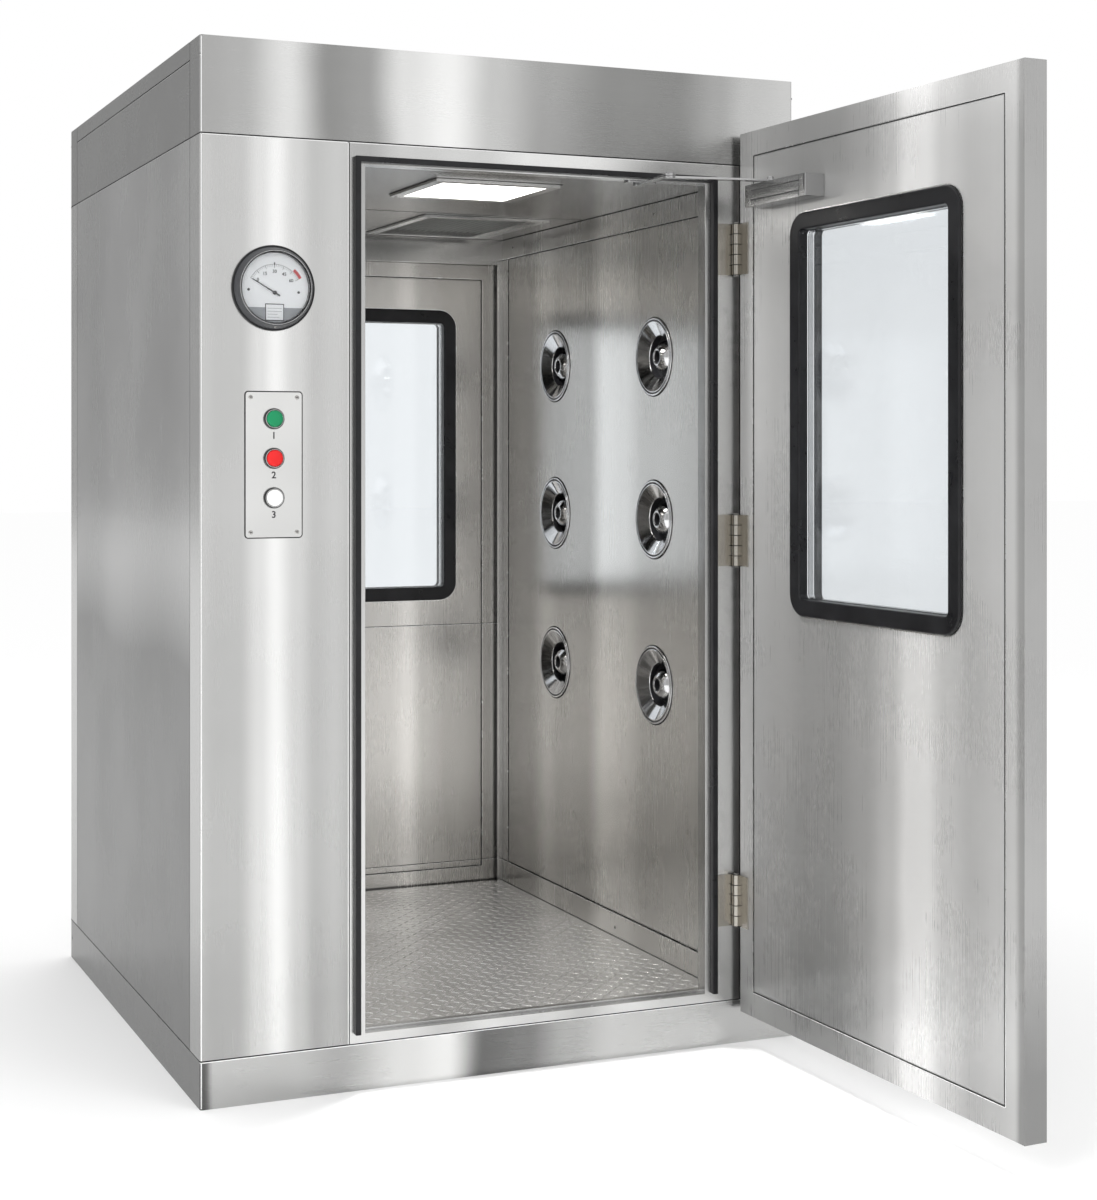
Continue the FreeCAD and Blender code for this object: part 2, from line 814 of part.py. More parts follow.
def rear_frame():
    """Rebated ring round the rear doorway: a stop towards the cabin, hollow jambs."""
    body = new_body("rear_frame_outer")
    us = ("rear_frame_left", "rear_frame_right")
    vs = ("plinth_height", "panel_top")
    seat_us = ("rear_leaf_left - 2 * rear_edge_gap", "rear_leaf_right + 2 * rear_edge_gap")
    seat_vs = ("rear_leaf_bottom - rear_edge_gap", "rear_leaf_top + 2 * rear_edge_gap")
    stop = sketch_on(body, "XZ", "stop_front")
    rectangle(stop, us, vs)
    rectangle(stop, ("rear_opening_left", "rear_opening_right"),
              ("floor_top", "rear_opening_top"))
    pad(body, stop, "rear_stop_depth")
    jamb = sketch_on(body, "XZ", "stop_back")
    rectangle(jamb, us, vs)
    rectangle(jamb, seat_us, seat_vs)
    pad(body, jamb, "rear - stop_back")
    hollow = slab("rear_frame_hollow", "XZ", "stop_back", "rear - stop_back - frame_sheet",
                  (f"{us[0]} + frame_sheet", f"{us[1]} - frame_sheet"),
                  (f"{vs[0]} + frame_sheet", f"{vs[1]} - frame_sheet"), None,
                  [((f"{seat_us[0]} - frame_sheet", f"{seat_us[1]} + frame_sheet"),
                    (f"{seat_vs[0]} - frame_sheet", f"{seat_vs[1]} + frame_sheet"))])
    node(cut("rear_door_frame", body, hollow), "rear_door_frame")


def frame_gaskets():
    """Black seals: three sides of the front doorway, all round the rear stop."""
    front = new_body("front_gasket")
    outer = ("opening_left - gasket_inset - gasket_width",
             "opening_right + gasket_inset + gasket_width")
    inner = ("opening_left - gasket_inset", "opening_right + gasket_inset")
    head = "opening_top + gasket_head_inset"
    depth = "hinge_axis_proud + front_face_gap - seat_gap"
    sketch = sketch_on(front, "XZ", f"front - ({depth})")
    outline(sketch, [
        (outer[0], "floor_top"),
        (inner[0], "floor_top"),
        (inner[0], head),
        (inner[1], head),
        (inner[1], "floor_top"),
        (outer[1], "floor_top"),
        (outer[1], f"{head} + gasket_width"),
        (outer[0], f"{head} + gasket_width"),
    ])
    pad(front, sketch, depth)
    lap = "(rear_stop_lap + rear_gasket_width) / 2"
    back = slab("rear_gasket", "XZ", "stop_back", "rear_gasket_depth - seat_gap",
                (f"rear_opening_left - ({lap})", f"rear_opening_right + ({lap})"),
                (f"floor_top - ({lap})", f"rear_opening_top + ({lap})"), None,
                [((f"rear_opening_left - ({lap}) + rear_gasket_width",
                   f"rear_opening_right + ({lap}) - rear_gasket_width"),
                  (f"floor_top - ({lap}) + rear_gasket_width",
                   f"rear_opening_top + ({lap}) - rear_gasket_width"))])
    group("frame_gaskets", [front, back])


# Cabin lining.
NOZZLE_DEPTHS = ("front + nozzle_first_depth", "front + nozzle_second_depth")
NOZZLE_HEIGHTS = ("nozzle_low", "nozzle_middle", "nozzle_high")
NOZZLES = [(y, z) for y in NOZZLE_DEPTHS for z in NOZZLE_HEIGHTS]
WALLS = {"left": "cabin_left", "right": "cabin_right"}


def cabin():
    ys = ("frame_back + seat_gap", "lining_rear")
    holes = [(y, z, "nozzle_hole_radius") for y, z in NOZZLES]
    for side, level in (("left", "cabin_left - lining_sheet"), ("right", "cabin_right")):
        wall = slab(side + "_nozzle_wall", "YZ", level, "lining_sheet", ys,
                    ("lining_bottom", "panel_top"), None, holes)
        node(wall, side + "_nozzle_wall")
    floor = slab("floor_plate", "XY", "floor_top - floor_plate", "floor_plate",
                 ("cabin_left + seat_gap", "cabin_right - seat_gap"), ys)
    node(floor, "floor_plate")
    lamp_half = "(lamp_size / 2 - lamp_rim)"
    grille_half = ("(grille_width / 2 - grille_rim + lamp_sheet + seat_gap)",
                   "(grille_length / 2 - grille_rim + lamp_sheet + seat_gap)")
    ceiling = slab("ceiling_panel", "XY", "opening_top", "lining_sheet",
                   ("cabin_left + seat_gap", "cabin_right - seat_gap"), ys, None, [
                       ((f"lamp_x - {lamp_half}", f"lamp_x + {lamp_half}"),
                        (f"lamp_y - {lamp_half}", f"lamp_y + {lamp_half}")),
                       ((f"grille_x - {grille_half[0]}", f"grille_x + {grille_half[0]}"),
                        (f"grille_y - {grille_half[1]}", f"grille_y + {grille_half[1]}")),
                   ])
    node(ceiling, "ceiling_panel")
    strips = []
    for side, edge, sign in (("left", "cabin_left", 1), ("right", "cabin_right", -1)):
        faces = (edge, f"{edge} + trim_sheet")
        if sign < 0:
            faces = (f"{edge} - trim_sheet", edge)
        strips.append(box(side + "_kick", faces, ys,
                          ("floor_top + seat_gap", "floor_top + seat_gap + kick_height")))
        strips.append(box(side + "_trim", faces, ys,
                          ("opening_top - seat_gap - trim_height",
                           "opening_top - seat_gap")))
    group("cabin_trims", strips)


# Air nozzles: a pressed ring with a cone, and a ball that swivels in its throat.
TO_LEFT = FreeCAD.Rotation(FreeCAD.Vector(0, 1, 0), -90)
TO_RIGHT = FreeCAD.Rotation(FreeCAD.Vector(0, 1, 0), 90)
TO_FRONT = FreeCAD.Rotation(FreeCAD.Vector(1, 0, 0), 90)
NOZZLE_TURNS = {"left": TO_RIGHT, "right": TO_LEFT}


def nozzle_ring(name):
    """Turned profile; height 0 is the wall's face and plus is into the cabin."""
    body = new_body(name)
    sketch = sketch_on(body, "XZ")
    socket = "ball_radius + ball_clearance"
    outline(sketch, [
        ("nozzle_radius", "0"),
        ("nozzle_radius", "nozzle_rim - 1"),
        ("nozzle_radius - 1.5", "nozzle_rim"),
        ("nozzle_radius - 4.5", "nozzle_rim"),
        ("nozzle_radius - 4.5", "nozzle_rim / 3"),
        ("nozzle_cone_radius + nozzle_wall", "nozzle_rim / 3"),
        ("nozzle_cone_radius + nozzle_wall", "nozzle_rim"),
        ("nozzle_cone_radius", "nozzle_rim"),
        ("throat_radius", "-throat_depth"),
        ("throat_radius", "-ball_depth + 12"),
        (socket, "-ball_depth + 12"),
        (socket, "-ball_depth - 12"),
        (f"{socket} + nozzle_wall", "-ball_depth - 12"),
        ("throat_radius + nozzle_wall", "-ball_depth + 8"),
        ("throat_radius + nozzle_wall", "-throat_depth - 2"),
        ("nozzle_hole_radius - seat_gap", "-lining_sheet - 1"),
        ("nozzle_hole_radius - seat_gap", "0"),
    ])
    revolve(body, sketch)
    return body


def nozzle_ball(name):
    """Ball cut off at both poles and bored through; the origin is the ball's centre."""
    ball = doc.addObject("Part::Sphere", name + "_sphere")
    bind(ball, "Radius", "ball_radius")
    bind(ball, "Angle1", "ball_tail_latitude")
    bind(ball, "Angle2", "ball_mouth_latitude")
    bore = cylinder(name + "_bore", "ball_bore_radius", "0", "0", "-ball_radius",
                    "ball_radius")
    return cut(name, ball, bore)


def nozzles():
    rings = []
    for side, wall in WALLS.items():
        inward = -1 if side == "left" else 1
        for number, (y, z) in enumerate(NOZZLES, start=1):
            rings.append(place(nozzle_ring(f"{side}_ring_{number}"), wall, y, z,
                               NOZZLE_TURNS[side]))
            name = f"nozzle_ball_{side}_{number}"
            ball = place(nozzle_ball(name), f"{wall} + {inward} * ball_depth", y, z,
                         NOZZLE_TURNS[side])
            node(ball, name)
    group("nozzle_rings", rings)


# Ceiling lamp and return grille.
def ceiling_fittings():
    half = "lamp_size / 2"
    mouth = "(lamp_size / 2 - lamp_rim)"
    can = "(lamp_size / 2 - lamp_rim - seat_gap)"
    lamp = new_body("lamp_frame")
    flange = sketch_on(lamp, "XY", "opening_top - lamp_drop")
    rectangle(flange, (f"lamp_x - {half}", f"lamp_x + {half}"),
              (f"lamp_y - {half}", f"lamp_y + {half}"), "fold_radius")
    rectangle(flange, (f"lamp_x - {mouth} + lamp_sheet", f"lamp_x + {mouth} - lamp_sheet"),
              (f"lamp_y - {mouth} + lamp_sheet", f"lamp_y + {mouth} - lamp_sheet"))
    pad(lamp, flange, "lamp_drop")
    shell = sketch_on(lamp, "XY", "opening_top")
    rectangle(shell, (f"lamp_x - {can}", f"lamp_x + {can}"),
              (f"lamp_y - {can}", f"lamp_y + {can}"))
    pad(lamp, shell, "lamp_can_height")
    inside = sketch_on(lamp, "XY", "opening_top")
    rectangle(inside, (f"lamp_x - {can} + lamp_sheet", f"lamp_x + {can} - lamp_sheet"),
              (f"lamp_y - {can} + lamp_sheet", f"lamp_y + {can} - lamp_sheet"))
    pocket(lamp, inside, "lamp_can_height - lamp_sheet")
    node(lamp, "lamp_frame")
    pane = "(lamp_size / 2 - lamp_rim - lamp_sheet - seat_gap)"
    diffuser = slab("lamp_diffuser", "XY", "opening_top - lamp_drop + 2",
                    "diffuser_thickness",
                    (f"lamp_x - {pane}", f"lamp_x + {pane}"),
                    (f"lamp_y - {pane}", f"lamp_y + {pane}"))
    node(diffuser, "lamp_diffuser")
    wide, long = "grille_width / 2", "grille_length / 2"
    neck_x, neck_y = f"({wide} - grille_rim)", f"({long} - grille_rim)"
    grille = new_body("return_grille")
    face = sketch_on(grille, "XY", "opening_top - grille_drop")
    rectangle(face, (f"grille_x - {wide}", f"grille_x + {wide}"),
              (f"grille_y - {long}", f"grille_y + {long}"))
    rectangle(face, (f"grille_x - {neck_x}", f"grille_x + {neck_x}"),
              (f"grille_y - {neck_y}", f"grille_y + {neck_y}"))
    pad(grille, face, "grille_drop")
    neck = sketch_on(grille, "XY", "opening_top")
    rectangle(neck, (f"grille_x - {neck_x} - lamp_sheet", f"grille_x + {neck_x} + lamp_sheet"),
              (f"grille_y - {neck_y} - lamp_sheet", f"grille_y + {neck_y} + lamp_sheet"))
    rectangle(neck, (f"grille_x - {neck_x}", f"grille_x + {neck_x}"),
              (f"grille_y - {neck_y}", f"grille_y + {neck_y}"))
    pad(grille, neck, "grille_top - opening_top")
    pitch = f"(2 * {neck_x} / (slat_count + 1))"
    start = f"grille_x - {neck_x} + {pitch} - slat_lean / 2"
    slat = sketch_on(grille, "XZ", f"grille_y - {neck_y}")
    outline(slat, [
        (start, "opening_top - grille_drop + 2"),
        (f"{start} + slat_thickness", "opening_top - grille_drop + 2"),
        (f"{start} + slat_thickness + slat_lean",
         "opening_top - grille_drop + 2 + slat_height"),
        (f"{start} + slat_lean", "opening_top - grille_drop + 2 + slat_height"),
    ])
    first = pad(grille, slat, f"2 * {neck_y}")
    row = grille.newObject("PartDesign::LinearPattern", "slat_row")
    row.Originals = [first]
    axis = [item for item in grille.Origin.OriginFeatures if item.Role == "X_Axis"][0]
    row.Direction = (axis, [""])
    bind(row, "Length", f"{pitch} * (slat_count - 1)")
    bind(row, "Occurrences", "slat_count")
    grille.Tip = row
    node(grille, "return_grille")
    prefilter = slab("prefilter", "XY", "grille_top", "prefilter_height",
                     (f"grille_x - {wide}", f"grille_x + {wide}"),
                     (f"grille_y - {long}", f"grille_y + {long}"))
    node(prefilter, "prefilter")


# Fan unit: box, motor on a bridge, impeller, filter below.
def fan_unit():
    half = "fan_box_length / 2"
    shell = new_body("fan_box")
    plan = sketch_on(shell, "XY", "fan_box_bottom")
    rectangle(plan, ("fan_left", "fan_right"), (f"fan_y - {half}", f"fan_y + {half}"))
    pad(shell, plan, "fan_box_top - fan_box_bottom")
    inside = sketch_on(shell, "XY", "fan_box_bottom")
    rectangle(inside, ("fan_left + panel_sheet", "fan_right - panel_sheet"),
              (f"fan_y - {half} + panel_sheet", f"fan_y + {half} - panel_sheet"))
    pocket(shell, inside, "fan_box_top - fan_box_bottom - panel_sheet")
    inlet = sketch_on(shell, "XY", "fan_box_top - panel_sheet")
    ring(inlet, "fan_x", "fan_y", "inlet_radius")
    pocket(shell, inlet, "panel_sheet")
    node(shell, "fan_box")

    motor = new_body("fan_motor")
    can = sketch_on(motor, "XY", "motor_bottom")
    ring(can, "fan_x", "fan_y", "motor_radius")
    pad(motor, can, "motor_height")
    bridge = sketch_on(motor, "XY", "motor_bottom")
    rectangle(bridge, ("fan_left + panel_sheet + seat_gap", "fan_right - panel_sheet - seat_gap"),
              ("fan_y - motor_bridge / 2", "fan_y + motor_bridge / 2"))
    pad(motor, bridge, "rail_sheet")
    bearing = sketch_on(motor, "XY", "motor_top")
    ring(bearing, "fan_x", "fan_y", "shaft_radius + running_clearance")
    pocket(motor, bearing, "shaft_length", towards_plus=False)
    node(motor, "fan_motor")

    wheel = new_body("fan_impeller")
    plate = sketch_on(wheel, "XY", "impeller_bottom")
    ring(plate, "0", "0", "impeller_radius")
    pad(wheel, plate, "impeller_plate")
    shaft = sketch_on(wheel, "XY", "motor_top - shaft_length + 2")
    ring(shaft, "0", "0", "shaft_radius")
    pad(wheel, shaft, "impeller_bottom - motor_top + shaft_length - 2 + 20")
    blade = sketch_on(wheel, "XY", "impeller_bottom + impeller_plate")
    root, tip = "inlet_radius * 0.75", "impeller_radius - 3"
    outline(blade, [
        (root, "0"),
        (f"{tip} * 0.9", "30"),
        (f"{tip} * 0.9 - blade_thickness / 2", "30 + blade_thickness"),
        (f"{root} - blade_thickness / 2", "blade_thickness"),
    ])
    first = pad(wheel, blade, "impeller_height - 2 * impeller_plate")
    turns = wheel.newObject("PartDesign::PolarPattern", "blades")
    turns.Originals = [first]
    axis = [item for item in wheel.Origin.OriginFeatures if item.Role == "Z_Axis"][0]
    turns.Axis = (axis, [""])
    turns.Angle = 360
    bind(turns, "Occurrences", "blade_count")
    wheel.Tip = turns
    shroud = sketch_on(wheel, "XY", "impeller_top - impeller_plate")
    ring(shroud, "0", "0", "impeller_radius")
    ring(shroud, "0", "0", "inlet_radius * 0.72")
    pad(wheel, shroud, "impeller_plate")
    node(place(wheel, "fan_x", "fan_y"), "fan_impeller")

    filter_box = slab("main_filter", "XY", "fan_box_bottom - filter_height",
                      "filter_height", ("fan_left", "fan_left + filter_width"),
                      ("fan_y - filter_length / 2", "fan_y + filter_length / 2"))
    node(filter_box, "main_filter")
    gear = [
        slab("control_box", "XY", "ceiling_top", "control_box_height",
             ("control_box_left", "control_box_right"),
             ("frame_back + 60", "frame_back + 60 + control_box_length")),
        box("front_lock", ("opening_left + 40", "opening_left + 40 + lock_length"),
            ("front + frame_sheet", "frame_back - frame_sheet"),
            ("opening_top + frame_sheet", "opening_top + frame_sheet + lock_height")),
        box("rear_lock", ("rear_opening_right - 40 - lock_length", "rear_opening_right - 40"),
            ("stop_front - lock_height - seat_gap", "stop_front - seat_gap"),
            ("ceiling_top", "ceiling_top + lock_height")),
    ]
    group("control_gear", gear)


# Gauge and push buttons on the left column. The pointer rests on zero, at the left.
ZERO_TURN = FreeCAD.Rotation(FreeCAD.Vector(0, 1, 0), -60).multiply(TO_FRONT)


def gauge():
    x, z = "left + gauge_side", "gauge_height"
    case = new_body("gauge_case")
    sketch = sketch_on(case, "XZ")
    outline(sketch, [
        ("0", "-gauge_body_depth"),
        ("gauge_body_radius", "-gauge_body_depth"),
        ("gauge_body_radius", "0"),
        ("gauge_radius", "0"),
        ("gauge_radius", "gauge_rim * 0.6"),
        ("gauge_radius - 4", "gauge_rim * 0.9"),
        ("gauge_radius - 8", "gauge_rim"),
        ("gauge_window_radius + 2", "gauge_rim"),
        ("gauge_window_radius", "gauge_rim - 2"),
        ("gauge_window_radius", "dial_level"),
        ("0", "dial_level"),
    ])
    revolve(case, sketch)
    node(place(case, x, "front", z, TO_FRONT), "gauge_case")
    dial = new_body("gauge_dial")
    face = sketch_on(dial, "XY", "dial_level")
    ring(face, "0", "0", "gauge_window_radius - seat_gap")
    pad(dial, face, "dial_thickness")
    node(place(dial, x, "front", z, TO_FRONT), "gauge_dial")
    pointer = new_body("gauge_pointer")
    hub = sketch_on(pointer, "XY", "dial_level + dial_thickness + seat_gap")
    ring(hub, "0", "0", "pointer_hub_radius")
    pad(pointer, hub, "pointer_level + pointer_thickness - dial_level - dial_thickness")
    needle = sketch_on(pointer, "XY", "pointer_level")
    outline(needle, [
        ("-pointer_width / 2", "-pointer_tail"),
        ("pointer_width / 2", "-pointer_tail"),
        ("pointer_width / 4", "pointer_length"),
        ("-pointer_width / 4", "pointer_length"),
    ])
    pad(pointer, needle, "pointer_thickness")
    node(place(pointer, x, "front", f"{z} - pointer_drop", ZERO_TURN), "gauge_pointer")
    lens = new_body("gauge_lens")
    pane = sketch_on(lens, "XY", "lens_level")
    ring(pane, "0", "0", "gauge_window_radius - seat_gap")
    pad(lens, pane, "lens_thickness")
    node(place(lens, x, "front", z, TO_FRONT), "gauge_lens")


def push_buttons():
    x = "left + button_side"
    heights = {"start": "button_middle + button_pitch", "stop": "button_middle",
               "door": "button_middle - button_pitch"}
    stem_hole = "cap_stem_radius + seat_gap"
    plate = slab("button_plate", "XZ", "front - plate_sheet", "plate_sheet",
                 (f"{x} - plate_width / 2", f"{x} + plate_width / 2"),
                 ("plate_middle - plate_length / 2", "plate_middle + plate_length / 2"),
                 "plate_corner", [(x, z, stem_hole) for z in heights.values()])
    node(plate, "button_plate")
    bezels = []
    for name, z in heights.items():
        bezel = new_body(name + "_bezel")
        sketch = sketch_on(bezel, "XZ")
        outline(sketch, [
            ("cap_radius + seat_gap", "0"),
            ("bezel_radius", "0"),
            ("bezel_radius", "bezel_height - 3"),
            ("bezel_radius - 2", "bezel_height"),
            ("cap_radius + seat_gap", "bezel_height"),
        ])
        revolve(bezel, sketch)
        bezels.append(place(bezel, x, "front - plate_sheet", z, TO_FRONT))
        cap = new_body(name + "_button")
        profile = sketch_on(cap, "XZ")
        outline(profile, [
            ("0", "-cap_stem_length"),
            ("cap_stem_radius", "-cap_stem_length"),
            ("cap_stem_radius", "button_travel + 1"),
            ("cap_radius", "button_travel + 1"),
            ("cap_radius", "cap_height - 3"),
            ("cap_radius - 4", "cap_height - 0.6"),
            ("0", "cap_height"),
        ])
        revolve(cap, profile)
        node(place(cap, x, "front - plate_sheet", z, TO_FRONT), name + "_button")
    group("button_bezels", bezels)


# Doors. Each is drawn closed, about its own upright hinge axis: the leaf lies on
# the minus X side and its outside faces minus Y. It is then turned to its place.
DOORS = {
    "front": {"outer": "front_leaf_outer", "angle": "door_rest_angle", "frame_angle": "0",
              "highest": "hinge_high", "grip": "pull_side"},
    "rear": {"outer": "rear_leaf_outer", "angle": "180", "frame_angle": "180",
             "highest": "rear_hinge_high", "grip": "rear_pull_side"},
}


def hang(item, end, key="angle"):
    """Turn a piece of a door about that door's hinge axis."""
    return swing(item, f"{end}_axis_x", f"{end}_axis_y", DOORS[end][key])


def door_leaf(end):
    """Hollow leaf of two skins with a window hole and a reveal line inside."""
    gap, width = f"{end}_edge_gap", f"{end}_leaf_width"
    outer = DOORS[end]["outer"]
    us = (f"-{gap} - {width}", f"-{gap}")
    vs = (f"{end}_leaf_bottom", f"{end}_leaf_top")
    window = window_frame(end, "rubber_lip")
    slab_body = slab(end + "_leaf_slab", "XZ", outer, "leaf_thickness", us, vs, None,
                     [window])
    inner_face = f"{outer} + leaf_thickness"
    reveal = sketch_on(slab_body, "XZ", inner_face)
    for inset in ("leaf_border", "leaf_border + groove_width"):
        rectangle(reveal, (f"{us[0]} + {inset}", f"{us[1]} - ({inset})"),
                  (f"{vs[0]} + {inset}", f"{vs[1]} - ({inset})"))
    pocket(slab_body, reveal, "groove_depth", towards_plus=False)
    wall = window_frame(end, "rubber_lip - leaf_skin")
    hollow = slab(end + "_leaf_hollow", "XZ", f"{outer} + leaf_skin",
                  "leaf_thickness - 2 * leaf_skin",
                  (f"{us[0]} + leaf_skin", f"{us[1]} - leaf_skin"),
                  (f"{vs[0]} + leaf_skin", f"{vs[1]} - leaf_skin"), None, [wall])
    leaf = cut(end + "_door_leaf", slab_body, hollow)
    node(hang(leaf, end), end + "_door_leaf")


def window_frame(end, inset):
    """Sides, heights and corner radius of a window line, inset from the rubber's edge."""
    middle_x = f"-{end}_edge_gap - {end}_window_side"
    middle_z = f"{end}_window_middle"
    half_x = f"({end}_window_width / 2 - ({inset}))"
    half_z = f"({end}_window_height / 2 - ({inset}))"
    return ((f"{middle_x} - {half_x}", f"{middle_x} + {half_x}"),
            (f"{middle_z} - {half_z}", f"{middle_z} + {half_z}"),
            f"rubber_radius - ({inset})")


def door_window(end):
    """Rubber with a flange on each skin and a web in the hole, and two panes."""
    outer = DOORS[end]["outer"]
    rubber = new_body(end + "_window_rubber")
    layers = [
        (f"{outer} - rubber_proud", "rubber_proud", "0"),
        (outer, "leaf_thickness", "rubber_lip + seat_gap"),
        (f"{outer} + leaf_thickness", "rubber_proud", "0"),
    ]
    for level, depth, inset in layers:
        sketch = sketch_on(rubber, "XZ", level)
        rectangle(sketch, *window_frame(end, inset))
        rectangle(sketch, *window_frame(end, "rubber_width"))
        pad(rubber, sketch, depth)
    node(hang(rubber, end), end + "_window_rubber")
    middle = f"{outer} + leaf_thickness / 2"
    us, vs, radius = window_frame(end, "rubber_width + seat_gap")
    panes = [slab(f"{end}_pane_{number}", "XZ", f"{middle} + {offset}", "pane_thickness",
                  us, vs, radius)
             for number, offset in enumerate(("pane_gap / 2",
                                              "-pane_gap / 2 - pane_thickness"))]
    glass = doc.addObject("Part::Compound", end + "_window_glass")
    glass.Links = panes
    node(hang(glass, end), end + "_window_glass")


def hinge_half(name, sign, face, outwards, owned, middle):
    """One half of a butt hinge: a plate on a face and its knuckles round the axis."""
    bottom = f"{middle} - hinge_height / 2"
    pitch = "hinge_height / 5"
    ys = (f"{face} - hinge_plate", face) if outwards < 0 else (face, f"{face} + hinge_plate")
    start, stop = "hinge_leaf_start", "hinge_leaf_start + hinge_leaf_width"
    far = (f"{sign} * ({start})", f"{sign} * ({stop})")
    xs = (far[1], far[0]) if sign < 0 else far
    pieces = [box(name + "_plate", xs, ys, (bottom, f"{bottom} + hinge_height"))]
    near = (f"{sign} * ({start})", "0") if sign < 0 else ("0", f"{sign} * ({start})")
    for index in owned:
        low = f"{bottom} + {index} * {pitch} + knuckle_gap / 2"
        high = f"{bottom} + {index + 1} * {pitch} - knuckle_gap / 2"
        pieces.append(cylinder(f"{name}_knuckle_{index}", "knuckle_radius", "0", "0",
                               low, high))
        pieces.append(box(f"{name}_wrap_{index}", near, ys, (low, high)))
    bore = cylinder(name + "_bore", "hinge_pin_radius + running_clearance", "0", "0",
                    f"{bottom} - 1", f"{bottom} + hinge_height + 1")
    return cut(name, fuse(name + "_blank", pieces), bore)


def hinges():
    """Three butt hinges a door; the pins stay with the frame's halves."""
    frame_side = []
    for end in DOORS:
        heights = ("hinge_low", "hinge_middle", DOORS[end]["highest"])
        door_side = []
        for number, middle in enumerate(heights, start=1):
            if end == "front":
                frame_face, frame_sign = "hinge_axis_proud", -1
                door_face, out = "-front_face_gap", 1
            else:
                frame_face, frame_sign = "rear_face_gap", 1
                door_face, out = "rear_face_gap", -1
            fixed = hinge_half(f"{end}_fixed_hinge_{number}", frame_sign, frame_face, -1,
                               (0, 2, 4), middle)
            pin = cylinder(f"{end}_pin_{number}", "hinge_pin_radius", "0", "0",
                           f"{middle} - hinge_height / 2 - 2",
                           f"{middle} + hinge_height / 2 + 2")
            frame_side += [hang(fixed, end, "frame_angle"), hang(pin, end, "frame_angle")]
            door_side.append(hinge_half(f"{end}_moving_hinge_{number}", -1, door_face, out,
                                        (1, 3), middle))
        leaves = doc.addObject("Part::Compound", end + "_hinge_leaves")
        leaves.Links = door_side
        node(hang(leaves, end), end + "_hinge_leaves")
    group("hinge_frame_leaves", frame_side)


def pull_handle(end):
    """Bent round bar on the outside of the leaf."""
    outer = DOORS[end]["outer"]
    side = f"-({DOORS[end]['grip']})"
    ends = ("pull_middle - pull_length / 2", "pull_middle + pull_length / 2")
    body = new_body(end + "_pull_handle")
    path = sketch_on(body, "YZ", side)
    reach = f"{outer} - pull_reach"
    corners = [(outer, ends[0]), (reach, ends[0], "pull_bend"),
               (reach, ends[1], "pull_bend"), (outer, ends[1])]
    open_outline(path, corners)
    profile = sketch_on(body, "XZ", outer)
    ring(profile, side, ends[0], "pull_radius")
    pipe = body.newObject("PartDesign::AdditivePipe", end + "_pull_sweep")
    pipe.Profile = profile
    pipe.Spine = (path, [f"Edge{number}" for number in range(1, 6)])
    body.Tip = pipe
    node(hang(body, end), end + "_pull_handle")


def open_outline(sketch, corners):
    """Open path of square edges whose middle corners are rounded."""
    first, low, high, last = corners
    points = [first, stepped(low, first), stepped(low, high), stepped(high, low),
              stepped(high, last), last]
    lines = []
    for start, stop in ((0, 1), (2, 3), (4, 5)):
        line = sketch.addGeometry(
            Part.LineSegment(vector(points[start]), vector(points[stop])), False)
        pin_down(sketch, line, 1, points[start])
        pin_down(sketch, line, 2, points[stop])
        lines.append(line)
    round_corner(sketch, low, points[1], points[2], lines[0], lines[1])
    round_corner(sketch, high, points[3], points[4], lines[1], lines[2])


# Door closer: a parallel linkage, so each arm keeps a constant ratio to the door.
def link_bar(body, bottom, length, width):
    """Flat bar with a round eye at each end."""
    bar = sketch_on(body, "XY", bottom)
    rectangle(bar, ("0", length), (f"-({width}) / 2", f"({width}) / 2"))
    pad(body, bar, "arm_thickness")
    eyes = sketch_on(body, "XY", bottom)
    ring(eyes, "0", "0", "arm_eye_radius")
    ring(eyes, length, "0", "arm_eye_radius")
    pad(body, eyes, "arm_thickness")


